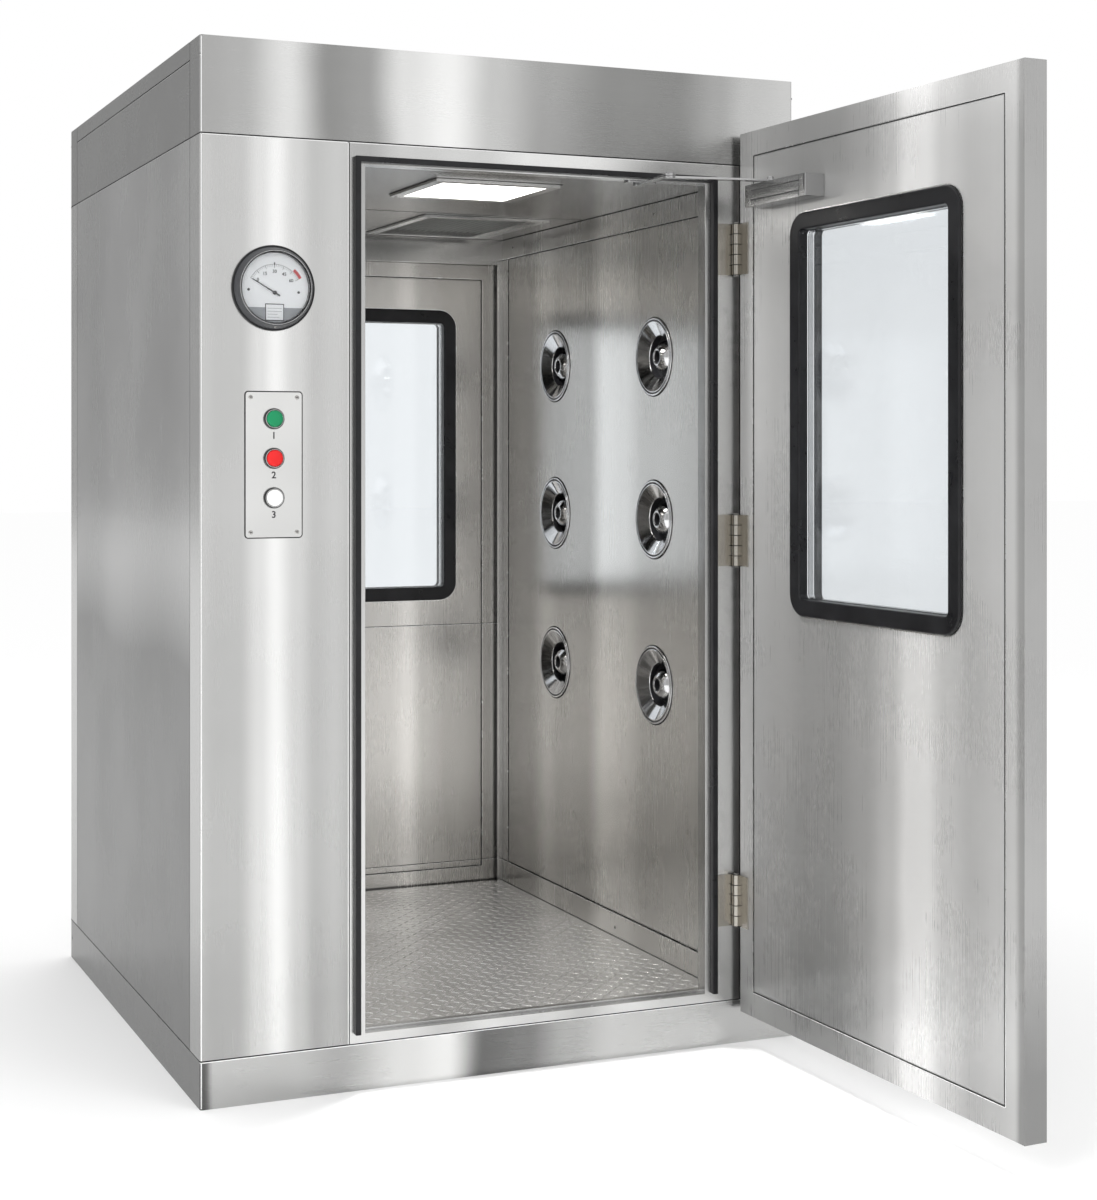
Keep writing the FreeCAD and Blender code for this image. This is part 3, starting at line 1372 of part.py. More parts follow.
def door_closer():
    inner_face = "-front_face_gap"
    body = new_body("closer_body")
    section = sketch_on(body, "YZ", "-closer_far")
    top, bottom = "closer_top", "(closer_top - closer_height)"
    proud = f"({inner_face} + closer_depth)"
    grooves = []
    for share in (0.34, 0.67):
        level = f"{bottom} + closer_height * {share}"
        grooves += [(proud, f"{level} - 1"), (f"{proud} - 1.2", f"{level} - 1"),
                    (f"{proud} - 1.2", f"{level} + 1"), (proud, f"{level} + 1")]
    outline(section, [(inner_face, bottom), (f"{proud} - 2", bottom),
                      (proud, f"{bottom} + 2")] + grooves +
            [(proud, f"{top} - 2"), (f"{proud} - 2", top), (inner_face, top)])
    pad(body, section, "closer_far - closer_near")
    socket = sketch_on(body, "XY", top)
    ring(socket, "-spindle_reach", "spindle_offset", "spindle_radius + running_clearance")
    pocket(body, socket, "spindle_length + 2", towards_plus=False)
    node(hang(body, "front"), "closer_body")

    length = "sqrt(shoe_reach^2 + shoe_back^2)"
    arm = new_body("closer_arm")
    link_bar(arm, "arm_bottom", length, "arm_width")
    spindle = sketch_on(arm, "XY", "arm_bottom - spindle_length")
    ring(spindle, "0", "0", "spindle_radius")
    pad(arm, spindle, "spindle_length")
    elbow = sketch_on(arm, "XY", "arm_top")
    ring(elbow, length, "0", "pivot_radius")
    pad(arm, elbow, "forearm_top - arm_top + arm_gap")
    head = sketch_on(arm, "XY", "forearm_top + arm_gap")
    ring(head, length, "0", "pivot_radius + 4")
    pad(arm, head, "2")
    turn = "door_rest_angle"
    spindle_x = (f"front_axis_x - spindle_reach * cos({turn}) "
                 f"- spindle_offset * sin({turn})")
    spindle_y = (f"front_axis_y - spindle_reach * sin({turn}) "
                 f"+ spindle_offset * cos({turn})")
    swing(arm, spindle_x, spindle_y, "180 - atan(shoe_back / shoe_reach) / 1 deg")
    node(arm, "closer_arm")

    forearm = new_body("closer_forearm")
    link_bar(forearm, "forearm_bottom", "spindle_arm", "forearm_width")
    eyes = sketch_on(forearm, "XY", "forearm_bottom")
    ring(eyes, "0", "0", "pivot_radius + running_clearance")
    ring(eyes, "spindle_arm", "0", "pivot_radius + elbow_clearance")
    pocket(forearm, eyes, "arm_thickness")
    shoe_x, shoe_y = "front_axis_x - shoe_reach", "front_axis_y + shoe_back"
    swing(forearm, shoe_x, shoe_y,
          f"{turn} + 180 - atan(spindle_offset / spindle_reach) / 1 deg")
    node(forearm, "closer_forearm")

    shoe = new_body("closer_shoe")
    plate = sketch_on(shoe, "XY", "opening_top - shoe_thickness")
    rectangle(plate, (f"{shoe_x} - shoe_length / 2", f"{shoe_x} + shoe_length / 2"),
              ("frame_back - shoe_width - 1", "frame_back - 1"), "fold_radius")
    pad(shoe, plate, "shoe_thickness")
    pivot = sketch_on(shoe, "XY", "forearm_bottom")
    ring(pivot, shoe_x, shoe_y, "pivot_radius")
    pad(shoe, pivot, "opening_top - shoe_thickness - forearm_bottom")
    node(shoe, "closer_shoe")


welded_frame()
casing()
front_frame()
rear_frame()
frame_gaskets()
cabin()
nozzles()
ceiling_fittings()
fan_unit()
gauge()
push_buttons()
for end_name in DOORS:
    door_leaf(end_name)
    door_window(end_name)
    pull_handle(end_name)
hinges()
door_closer()
doc.recompute()

faults = [item.Name for item in doc.Objects
          if "Invalid" in item.State or "Error" in item.State]
for item in SUB_PARTS:
    if item.Shape.isNull() or not item.Shape.isValid() or not item.Shape.Solids:
        faults.append(item.Label)
if faults:
    raise RuntimeError("Unsound objects: " + ", ".join(faults))

os.makedirs("parts", exist_ok=True)
for item in SUB_PARTS:
    item.Shape.exportStep(f"parts/{item.Label}.step")
    print(item.Label, len(item.Shape.Solids), "solids")
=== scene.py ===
import json
import logging
import math
from dataclasses import dataclass
from enum import Enum
from typing import Any, Callable, Iterable, Sequence

import bmesh
import bpy
from mathutils import Matrix, Vector


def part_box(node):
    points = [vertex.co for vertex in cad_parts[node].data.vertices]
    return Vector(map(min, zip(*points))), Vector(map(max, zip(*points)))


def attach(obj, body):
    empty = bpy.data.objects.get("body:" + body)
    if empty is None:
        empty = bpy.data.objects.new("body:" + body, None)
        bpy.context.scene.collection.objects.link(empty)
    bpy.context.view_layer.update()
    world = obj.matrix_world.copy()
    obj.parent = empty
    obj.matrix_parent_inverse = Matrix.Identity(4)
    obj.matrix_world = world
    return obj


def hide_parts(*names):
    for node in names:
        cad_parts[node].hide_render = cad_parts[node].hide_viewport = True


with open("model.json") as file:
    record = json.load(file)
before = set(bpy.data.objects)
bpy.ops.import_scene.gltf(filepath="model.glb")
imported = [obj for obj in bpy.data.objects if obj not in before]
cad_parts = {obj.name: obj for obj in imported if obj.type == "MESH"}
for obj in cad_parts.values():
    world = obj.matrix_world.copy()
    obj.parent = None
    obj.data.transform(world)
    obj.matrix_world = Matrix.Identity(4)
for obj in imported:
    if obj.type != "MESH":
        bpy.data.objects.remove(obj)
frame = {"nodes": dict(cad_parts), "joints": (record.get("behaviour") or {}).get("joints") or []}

LOG = logging.getLogger("air_shower")
MM = 0.001
PHOTO_WIDTH = 1097
PHOTO_HEIGHT = 1200

Colour = tuple[float, float, float]
Point = tuple[float, float, float]
Flat = tuple[float, float]
Maker = Callable[[], bpy.types.Material]


def joint_place(name: str) -> Vector:
    """Point on a joint's axis, from the frame.

    Args:
        name: The joint's name.

    Returns:
        The point in metres.
    """
    found = [joint for joint in frame["joints"] if joint["name"] == name]
    return Vector(found[0]["pos_m"])


# Finishes.
class Graph:
    """Adds and joins nodes in one node tree."""

    def __init__(self, tree: bpy.types.NodeTree) -> None:
        """Start with an empty tree."""
        self.tree = tree
        tree.nodes.clear()

    def add(self, kind: str, **settings: Any) -> bpy.types.Node:
        """Add a node and set its properties.

        Args:
            kind: The node's type, without its Shader prefix.
            **settings: Property values, set by name.

        Returns:
            The new node.
        """
        node = self.tree.nodes.new("ShaderNode" + kind)
        for key, value in settings.items():
            setattr(node, key, value)
        return node

    def join(self, source: bpy.types.NodeSocket, target: bpy.types.NodeSocket) -> None:
        """Link an output to an input."""
        self.tree.links.new(source, target)

    def noise(self, vector: bpy.types.NodeSocket, scale: float, detail: float,
              roughness: float = 0.5) -> bpy.types.NodeSocket:
        """Noise value from a vector.

        Args:
            vector: Coordinates.
            scale: Cells per metre.
            detail: Octaves.
            roughness: Share of the finer octaves.

        Returns:
            The factor output.
        """
        node = self.add("TexNoise")
        node.inputs["Scale"].default_value = scale
        node.inputs["Detail"].default_value = detail
        node.inputs["Roughness"].default_value = roughness
        self.join(vector, node.inputs["Vector"])
        return node.outputs["Fac"]

    def math(self, kind: str, first: Any, second: Any = 0.0,
             clamp: bool = False) -> bpy.types.NodeSocket:
        """Arithmetic on two values or sockets.

        Args:
            kind: The operation.
            first: First value or socket.
            second: Second value or socket.
            clamp: Keep the result between nought and one.

        Returns:
            The value output.
        """
        node = self.add("Math", operation=kind, use_clamp=clamp)
        for index, item in enumerate((first, second)):
            if isinstance(item, bpy.types.NodeSocket):
                self.join(item, node.inputs[index])
            else:
                node.inputs[index].default_value = item
        return node.outputs[0]

    def place(self) -> bpy.types.NodeSocket:
        """Where the surface is, in the object's own frame."""
        return self.add("TexCoord").outputs["Object"]

    def axes(self) -> Any:
        """The same place as separate X, Y and Z outputs."""
        split = self.add("SeparateXYZ")
        self.join(self.place(), split.inputs["Vector"])
        return split.outputs

    def ramp(self, value: bpy.types.NodeSocket, stops: Sequence[Flat]
             ) -> bpy.types.NodeSocket:
        """Greys that ease into each other.

        Args:
            value: Place along the ramp, from nought to one.
            stops: Position and grey of each stop.

        Returns:
            The colour output.
        """
        node = self.add("ValToRGB")
        node.color_ramp.interpolation = "EASE"
        elements = node.color_ramp.elements
        while len(elements) < len(stops):
            elements.new(0.5)
        for element, (position, grey) in zip(elements, stops):
            element.position = position
            element.color = (grey, grey, grey, 1.0)
        self.join(value, node.inputs["Fac"])
        return node.outputs["Color"]

    def spread(self, value: bpy.types.NodeSocket, low: float, high: float,
               start: float = 0.0, stop: float = 1.0) -> bpy.types.NodeSocket:
        """Carry a value from one range to another.

        Args:
            value: The input.
            low: Output at start.
            high: Output at stop.
            start: Input taken as the low end.
            stop: Input taken as the high end.

        Returns:
            The clamped result.
        """
        node = self.add("MapRange")
        node.inputs["From Min"].default_value = start
        node.inputs["From Max"].default_value = stop
        node.inputs["To Min"].default_value = low
        node.inputs["To Max"].default_value = high
        self.join(value, node.inputs["Value"])
        return node.outputs["Result"]

    def blend(self, factor: bpy.types.NodeSocket, first: Colour,
              second: Colour) -> bpy.types.NodeSocket:
        """Mix two colours by a factor.

        Args:
            factor: Share of the second colour.
            first: Colour at nought.
            second: Colour at one.

        Returns:
            The colour output.
        """
        node = self.add("Mix", data_type="RGBA")
        for socket in node.inputs:
            if socket.name in ("A", "B") and socket.type == "RGBA":
                colour = first if socket.name == "A" else second
                socket.default_value = (*colour, 1.0)
        self.join(factor, node.inputs["Factor"])
        return [out for out in node.outputs if out.type == "RGBA"][0]

    def bump(self, height: bpy.types.NodeSocket, strength: float, distance: float,
             normal: bpy.types.NodeSocket | None = None) -> bpy.types.NodeSocket:
        """Normal bent by a height.

        Args:
            height: Height value.
            strength: Share of the effect.
            distance: Metres for a height of one.
            normal: A normal that is already bent.

        Returns:
            The normal output.
        """
        node = self.add("Bump")
        node.inputs["Strength"].default_value = strength
        node.inputs["Distance"].default_value = distance
        self.join(height, node.inputs["Height"])
        if normal is not None:
            self.join(normal, node.inputs["Normal"])
        return node.outputs["Normal"]


class GroupLibrary:
    """Shader node groups that more than one finish uses, each built once."""

    def __init__(self) -> None:
        """Start with no groups."""
        self.made: dict[str, bpy.types.NodeTree] = {}

    def fetch(self, name: str, inputs: dict[str, Any], outputs: Sequence[str],
              fill: Callable[[Graph, bpy.types.Node, bpy.types.Node], None]
              ) -> bpy.types.NodeTree:
        """Find or build a group.

        Args:
            name: The group's name.
            inputs: Input names with their starting values.
            outputs: Names of the value outputs.
            fill: Adds the group's nodes between its ends.

        Returns:
            The node group.
        """
        if name in self.made:
            return self.made[name]
        tree = bpy.data.node_groups.new(name, "ShaderNodeTree")
        for label, value in inputs.items():
            kind = "NodeSocketVector" if isinstance(value, tuple) else "NodeSocketFloat"
            socket = tree.interface.new_socket(label, in_out="INPUT", socket_type=kind)
            socket.default_value = value
        for label in outputs:
            tree.interface.new_socket(label, in_out="OUTPUT",
                                      socket_type="NodeSocketFloat")
        graph = Graph(tree)
        start = tree.nodes.new("NodeGroupInput")
        end = tree.nodes.new("NodeGroupOutput")
        fill(graph, start, end)
        self.made[name] = tree
        return tree

    def grain(self) -> bpy.types.NodeTree:
        """Brushed lines, broad bands (waviness of the rolled sheet, and painted sheen where they
        tint the colour) and a faint handling haze.
        """

        def fill(graph: Graph, start: bpy.types.Node, end: bpy.types.Node) -> None:
            """Build the grain between the group's ends."""
            place = graph.place()
            fine_map = graph.add("Mapping")
            graph.join(place, fine_map.inputs["Vector"])
            graph.join(start.outputs["Stretch"], fine_map.inputs["Scale"])
            fine = graph.noise(fine_map.outputs["Vector"], 1.0, 2.0, 0.5)
            wide = graph.noise(fine_map.outputs["Vector"], 0.3, 1.0, 0.5)
            band_map = graph.add("Mapping")
            graph.join(place, band_map.inputs["Vector"])
            graph.join(start.outputs["Bands"], band_map.inputs["Scale"])
            graph.join(start.outputs["Shift"], band_map.inputs["Location"])
            band = graph.noise(band_map.outputs["Vector"], 1.0, 1.0, 0.4)
            haze = graph.noise(place, 3.1, 4.0, 0.6)
            lines = graph.math("ADD", graph.math("MULTIPLY", fine, 0.6),
                               graph.math("MULTIPLY", wide, 0.4))
            graph.join(lines, end.inputs["Lines"])
            graph.join(band, end.inputs["Band"])
            graph.join(haze, end.inputs["Haze"])

        return self.fetch("Brushed grain",
                          {"Stretch": (700.0, 700.0, 5.0), "Bands": (5.0, 5.0, 0.4),
                           "Shift": (0.0, 0.0, 0.0)},
                          ("Lines", "Band", "Haze"), fill)

    def moulded(self) -> bpy.types.NodeTree:
        """Fine pits and dust of a moulded or painted surface."""

        def fill(graph: Graph, start: bpy.types.Node, end: bpy.types.Node) -> None:
            """Build the speckle between the group's ends."""
            place = graph.place()
            fine = graph.noise(place, 1.0, 3.0, 0.6)
            node = fine.node
            graph.join(start.outputs["Scale"], node.inputs["Scale"])
            graph.join(fine, end.inputs["Pits"])
            dust = graph.noise(place, 14.0, 5.0, 0.65)
            graph.join(dust, end.inputs["Dust"])

        return self.fetch("Moulded speckle", {"Scale": 900.0}, ("Pits", "Dust"), fill)


GROUPS = GroupLibrary()


def new_material(name: str) -> tuple[bpy.types.Material, Graph, bpy.types.Node]:
    """Material with a Principled shader on its output.

    Args:
        name: The finish's name.

    Returns:
        The material, its graph and its shader.
    """
    material = bpy.data.materials.new(name)
    material.use_nodes = True
    graph = Graph(material.node_tree)
    shader = graph.add("BsdfPrincipled")
    output = graph.add("OutputMaterial")
    graph.join(shader.outputs["BSDF"], output.inputs["Surface"])
    return material, graph, shader


class Brush(Enum):
    """Which way a sheet's brushed lines run: scales of lines and waves, and the turn."""

    UPRIGHT = ((900.0, 900.0, 3.0), (4.4, 4.4, 0.35), 0.0)
    ACROSS = ((3.0, 900.0, 900.0), (3.2, 0.35, 4.4), 0.25)
    SATIN = ((420.0, 420.0, 420.0), (4.0, 4.0, 4.0), 0.0)


WAVER = 0.05        # Metres that a band wanders.
LINE_TONE = 0.05    # Brushed lines in the tone.
HAZE_TONE = 0.14    # Handling haze in the tone.
LINE_ROUGH = 0.05   # Brushed lines in the roughness.
HAZE_ROUGH = 0.10   # Handling haze in the roughness.


@dataclass(frozen=True)
class BrushedSteel:
    """Stainless sheet with brushed lines, broad bands of painted highlight and shade, and a
    faint waviness.

    Attributes:
        bands: Place along the axis and tone of each broad band; the bands are painted
            reflections, bright and dark, in the colour.
        fade: How much darker it gets downwards, and the heights between which; this darkening is
            painted shade.
        metal: Share of metal, under one where the surface is partly matt.
    """

    name: str
    brush: Brush
    pale: Colour = (0.93, 0.93, 0.92)
    dull: Colour = (0.33, 0.33, 0.325)
    roughness: float = 0.27
    anisotropy: float = 0.45
    wave: float = 0.003
    axis: str = "X"
    bands: tuple[Flat, ...] = ()
    shift: Point = (0.0, 0.0, 0.0)
    fade: Point = (0.0, 0.0, 1.0)
    metal: float = 1.0

    def band_tone(self, graph: Graph, warp: bpy.types.NodeSocket) -> bpy.types.NodeSocket:
        """Painted highlight and shade bands across the sheet, at places given in metres.

        Args:
            graph: The material's graph.
            warp: Noise that makes the bands waver.

        Returns:
            The tone, from nought to one.
        """
        wavered = graph.math("ADD", graph.axes()[self.axis],
                             graph.math("MULTIPLY", warp, WAVER))
        first, last = self.bands[0][0], self.bands[-1][0]
        share = graph.spread(wavered, 0.0, 1.0, first + WAVER / 2, last + WAVER / 2)
        return graph.ramp(share, [((where - first) / (last - first), tone)
                                  for where, tone in self.bands])

    def make(self) -> bpy.types.Material:
        """Build the material."""
        material, graph, shader = new_material(self.name)
        lines, waves, turn = self.brush.value
        group = graph.add("Group", node_tree=GROUPS.grain())
        group.inputs["Stretch"].default_value = lines
        group.inputs["Bands"].default_value = waves
        group.inputs["Shift"].default_value = self.shift
        line, wave, haze = (group.outputs[end] for end in ("Lines", "Band", "Haze"))
        # Listed bands are painted reflections laid into the base colour.
        if self.bands:
            broad = self.band_tone(graph, wave)
        else:
            # Random broad tone of the rolled sheet that also stands for soft sheen bands: partly
            # painted sheen.
            broad = graph.spread(wave, 0.2, 0.8, 0.3, 0.7)
        # Darker towards the bottom: painted shade in the colour.
        amount, foot, top = self.fade
        if amount:
            broad = graph.math("SUBTRACT", broad, graph.spread(
                graph.axes()["Z"], amount, 0.0, foot, top))
        fine = graph.math("MULTIPLY", graph.math("SUBTRACT", line, 0.5), LINE_TONE)
        hazy = graph.math("MULTIPLY", graph.math("SUBTRACT", haze, 0.5), HAZE_TONE)
        tone = graph.math("ADD", graph.math("ADD", broad, fine), hazy, clamp=True)
        graph.join(graph.blend(tone, self.dull, self.pale), shader.inputs["Base Color"])
        rough = graph.math("ADD", graph.math("MULTIPLY", line, LINE_ROUGH),
                           graph.math("MULTIPLY", haze, HAZE_ROUGH))
        middle = self.roughness - (LINE_ROUGH + HAZE_ROUGH) / 2
        graph.join(graph.math("ADD", rough, middle), shader.inputs["Roughness"])
        rolled = graph.bump(wave, 1.0, self.wave)
        graph.join(graph.bump(line, 0.06, 0.00005, rolled), shader.inputs["Normal"])
        shader.inputs["Metallic"].default_value = self.metal
        shader.inputs["Anisotropic"].default_value = self.anisotropy
        shader.inputs["Anisotropic Rotation"].default_value = turn
        return material


@dataclass(frozen=True)
class Polished:
    """Bright plated or polished metal with faint polishing haze."""

    name: str
    colour: Colour = (0.80, 0.80, 0.81)
    roughness: float = 0.09
    haze: float = 0.05

    def make(self) -> bpy.types.Material:
        """Build the material."""
        material, graph, shader = new_material(self.name)
        group = graph.add("Group", node_tree=GROUPS.moulded())
        group.inputs["Scale"].default_value = 160.0
        darker = tuple(part * 0.86 for part in self.colour)
        graph.join(graph.blend(group.outputs["Dust"], darker, self.colour),
                   shader.inputs["Base Color"])
        graph.join(graph.spread(group.outputs["Dust"], self.roughness,
                                self.roughness + self.haze, 0.35, 0.7),
                   shader.inputs["Roughness"])
        graph.join(graph.bump(group.outputs["Pits"], 0.08, 0.0001),
                   shader.inputs["Normal"])
        shader.inputs["Metallic"].default_value = 1.0
        return material


@dataclass(frozen=True)
class Moulded:
    """Plastic, rubber or paint with fine pits and faint dust."""

    name: str
    colour: Colour
    roughness: float = 0.4
    pits: float = 0.00006
    scale: float = 900.0
    lift: float = 1.25
    coat: float = 0.0
    gloss: float = 0.5

    def make(self) -> bpy.types.Material:
        """Build the material."""
        material, graph, shader = new_material(self.name)
        group = graph.add("Group", node_tree=GROUPS.moulded())
        group.inputs["Scale"].default_value = self.scale
        dusty = tuple(min(1.0, part * self.lift + 0.004) for part in self.colour)
        dust = graph.spread(group.outputs["Dust"], 0.0, 1.0, 0.42, 0.75)
        graph.join(graph.blend(dust, self.colour, dusty), shader.inputs["Base Color"])
        graph.join(graph.spread(group.outputs["Dust"], self.roughness - 0.05,
                                self.roughness + 0.10, 0.3, 0.75),
                   shader.inputs["Roughness"])
        graph.join(graph.bump(group.outputs["Pits"], 0.5, self.pits),
                   shader.inputs["Normal"])
        shader.inputs["Specular IOR Level"].default_value = self.gloss
        shader.inputs["Coat Weight"].default_value = self.coat
        shader.inputs["Coat Roughness"].default_value = 0.08
        return material


@dataclass(frozen=True)
class ClearGlass:
    """Window glass or a clear lens."""

    name: str
    colour: Colour = (0.945, 0.965, 0.98)
    roughness: float = 0.015

    def make(self) -> bpy.types.Material:
        """Build the material."""
        material, graph, shader = new_material(self.name)
        group = graph.add("Group", node_tree=GROUPS.moulded())
        graph.join(graph.spread(group.outputs["Dust"], self.roughness,
                                self.roughness + 0.05, 0.45, 0.8),
                   shader.inputs["Roughness"])
        tinted = tuple(part * 0.985 for part in self.colour)
        graph.join(graph.blend(group.outputs["Dust"], self.colour, tinted),
                   shader.inputs["Base Color"])
        shader.inputs["Transmission Weight"].default_value = 1.0
        shader.inputs["IOR"].default_value = 1.45
        return material


@dataclass(frozen=True)
class Glowing:
    """Lit opal panel, a little dimmer towards its rim."""

    name: str
    middle: Point
    reach: float
    strength: float = 7.0
    colour: Colour = (1.0, 0.985, 0.95)

    def make(self) -> bpy.types.Material:
        """Build the material."""
        material, graph, shader = new_material(self.name)
        shifted = graph.add("Mapping")
        shifted.inputs["Location"].default_value = tuple(-part for part in self.middle)
        graph.join(graph.place(), shifted.inputs["Vector"])
        length = graph.add("VectorMath", operation="LENGTH")
        graph.join(shifted.outputs["Vector"], length.inputs[0])
        fade = graph.spread(length.outputs["Value"], 0.0, 1.0, 0.0, self.reach)
        dimmer = tuple(part * 0.72 for part in self.colour)
        graph.join(graph.blend(fade, self.colour, dimmer),
                   shader.inputs["Emission Color"])
        shader.inputs["Base Color"].default_value = (0.9, 0.9, 0.88, 1.0)
        shader.inputs["Emission Strength"].default_value = self.strength
        shader.inputs["Roughness"].default_value = 0.4
        return material


@dataclass(frozen=True)
class Fleece:
    """Pleated filter fleece."""

    name: str
    colour: Colour = (0.86, 0.87, 0.85)

    def make(self) -> bpy.types.Material:
        """Build the material."""
        material, graph, shader = new_material(self.name)
        place = graph.place()
        fibre = graph.noise(place, 900.0, 6.0, 0.7)
        wave = graph.add("TexWave", wave_type="BANDS", bands_direction="X")
        wave.inputs["Scale"].default_value = 16.0
        wave.inputs["Distortion"].default_value = 0.4
        graph.join(place, wave.inputs["Vector"])
        # Pleat valleys darker than the crests: painted shade in the folds.
        grey = tuple(part * 0.7 for part in self.colour)
        graph.join(graph.blend(wave.outputs["Fac"], grey, self.colour),
                   shader.inputs["Base Color"])
        folds = graph.bump(wave.outputs["Fac"], 0.8, 0.004)
        graph.join(graph.bump(fibre, 0.5, 0.0006, folds), shader.inputs["Normal"])
        shader.inputs["Roughness"].default_value = 0.95
        return material


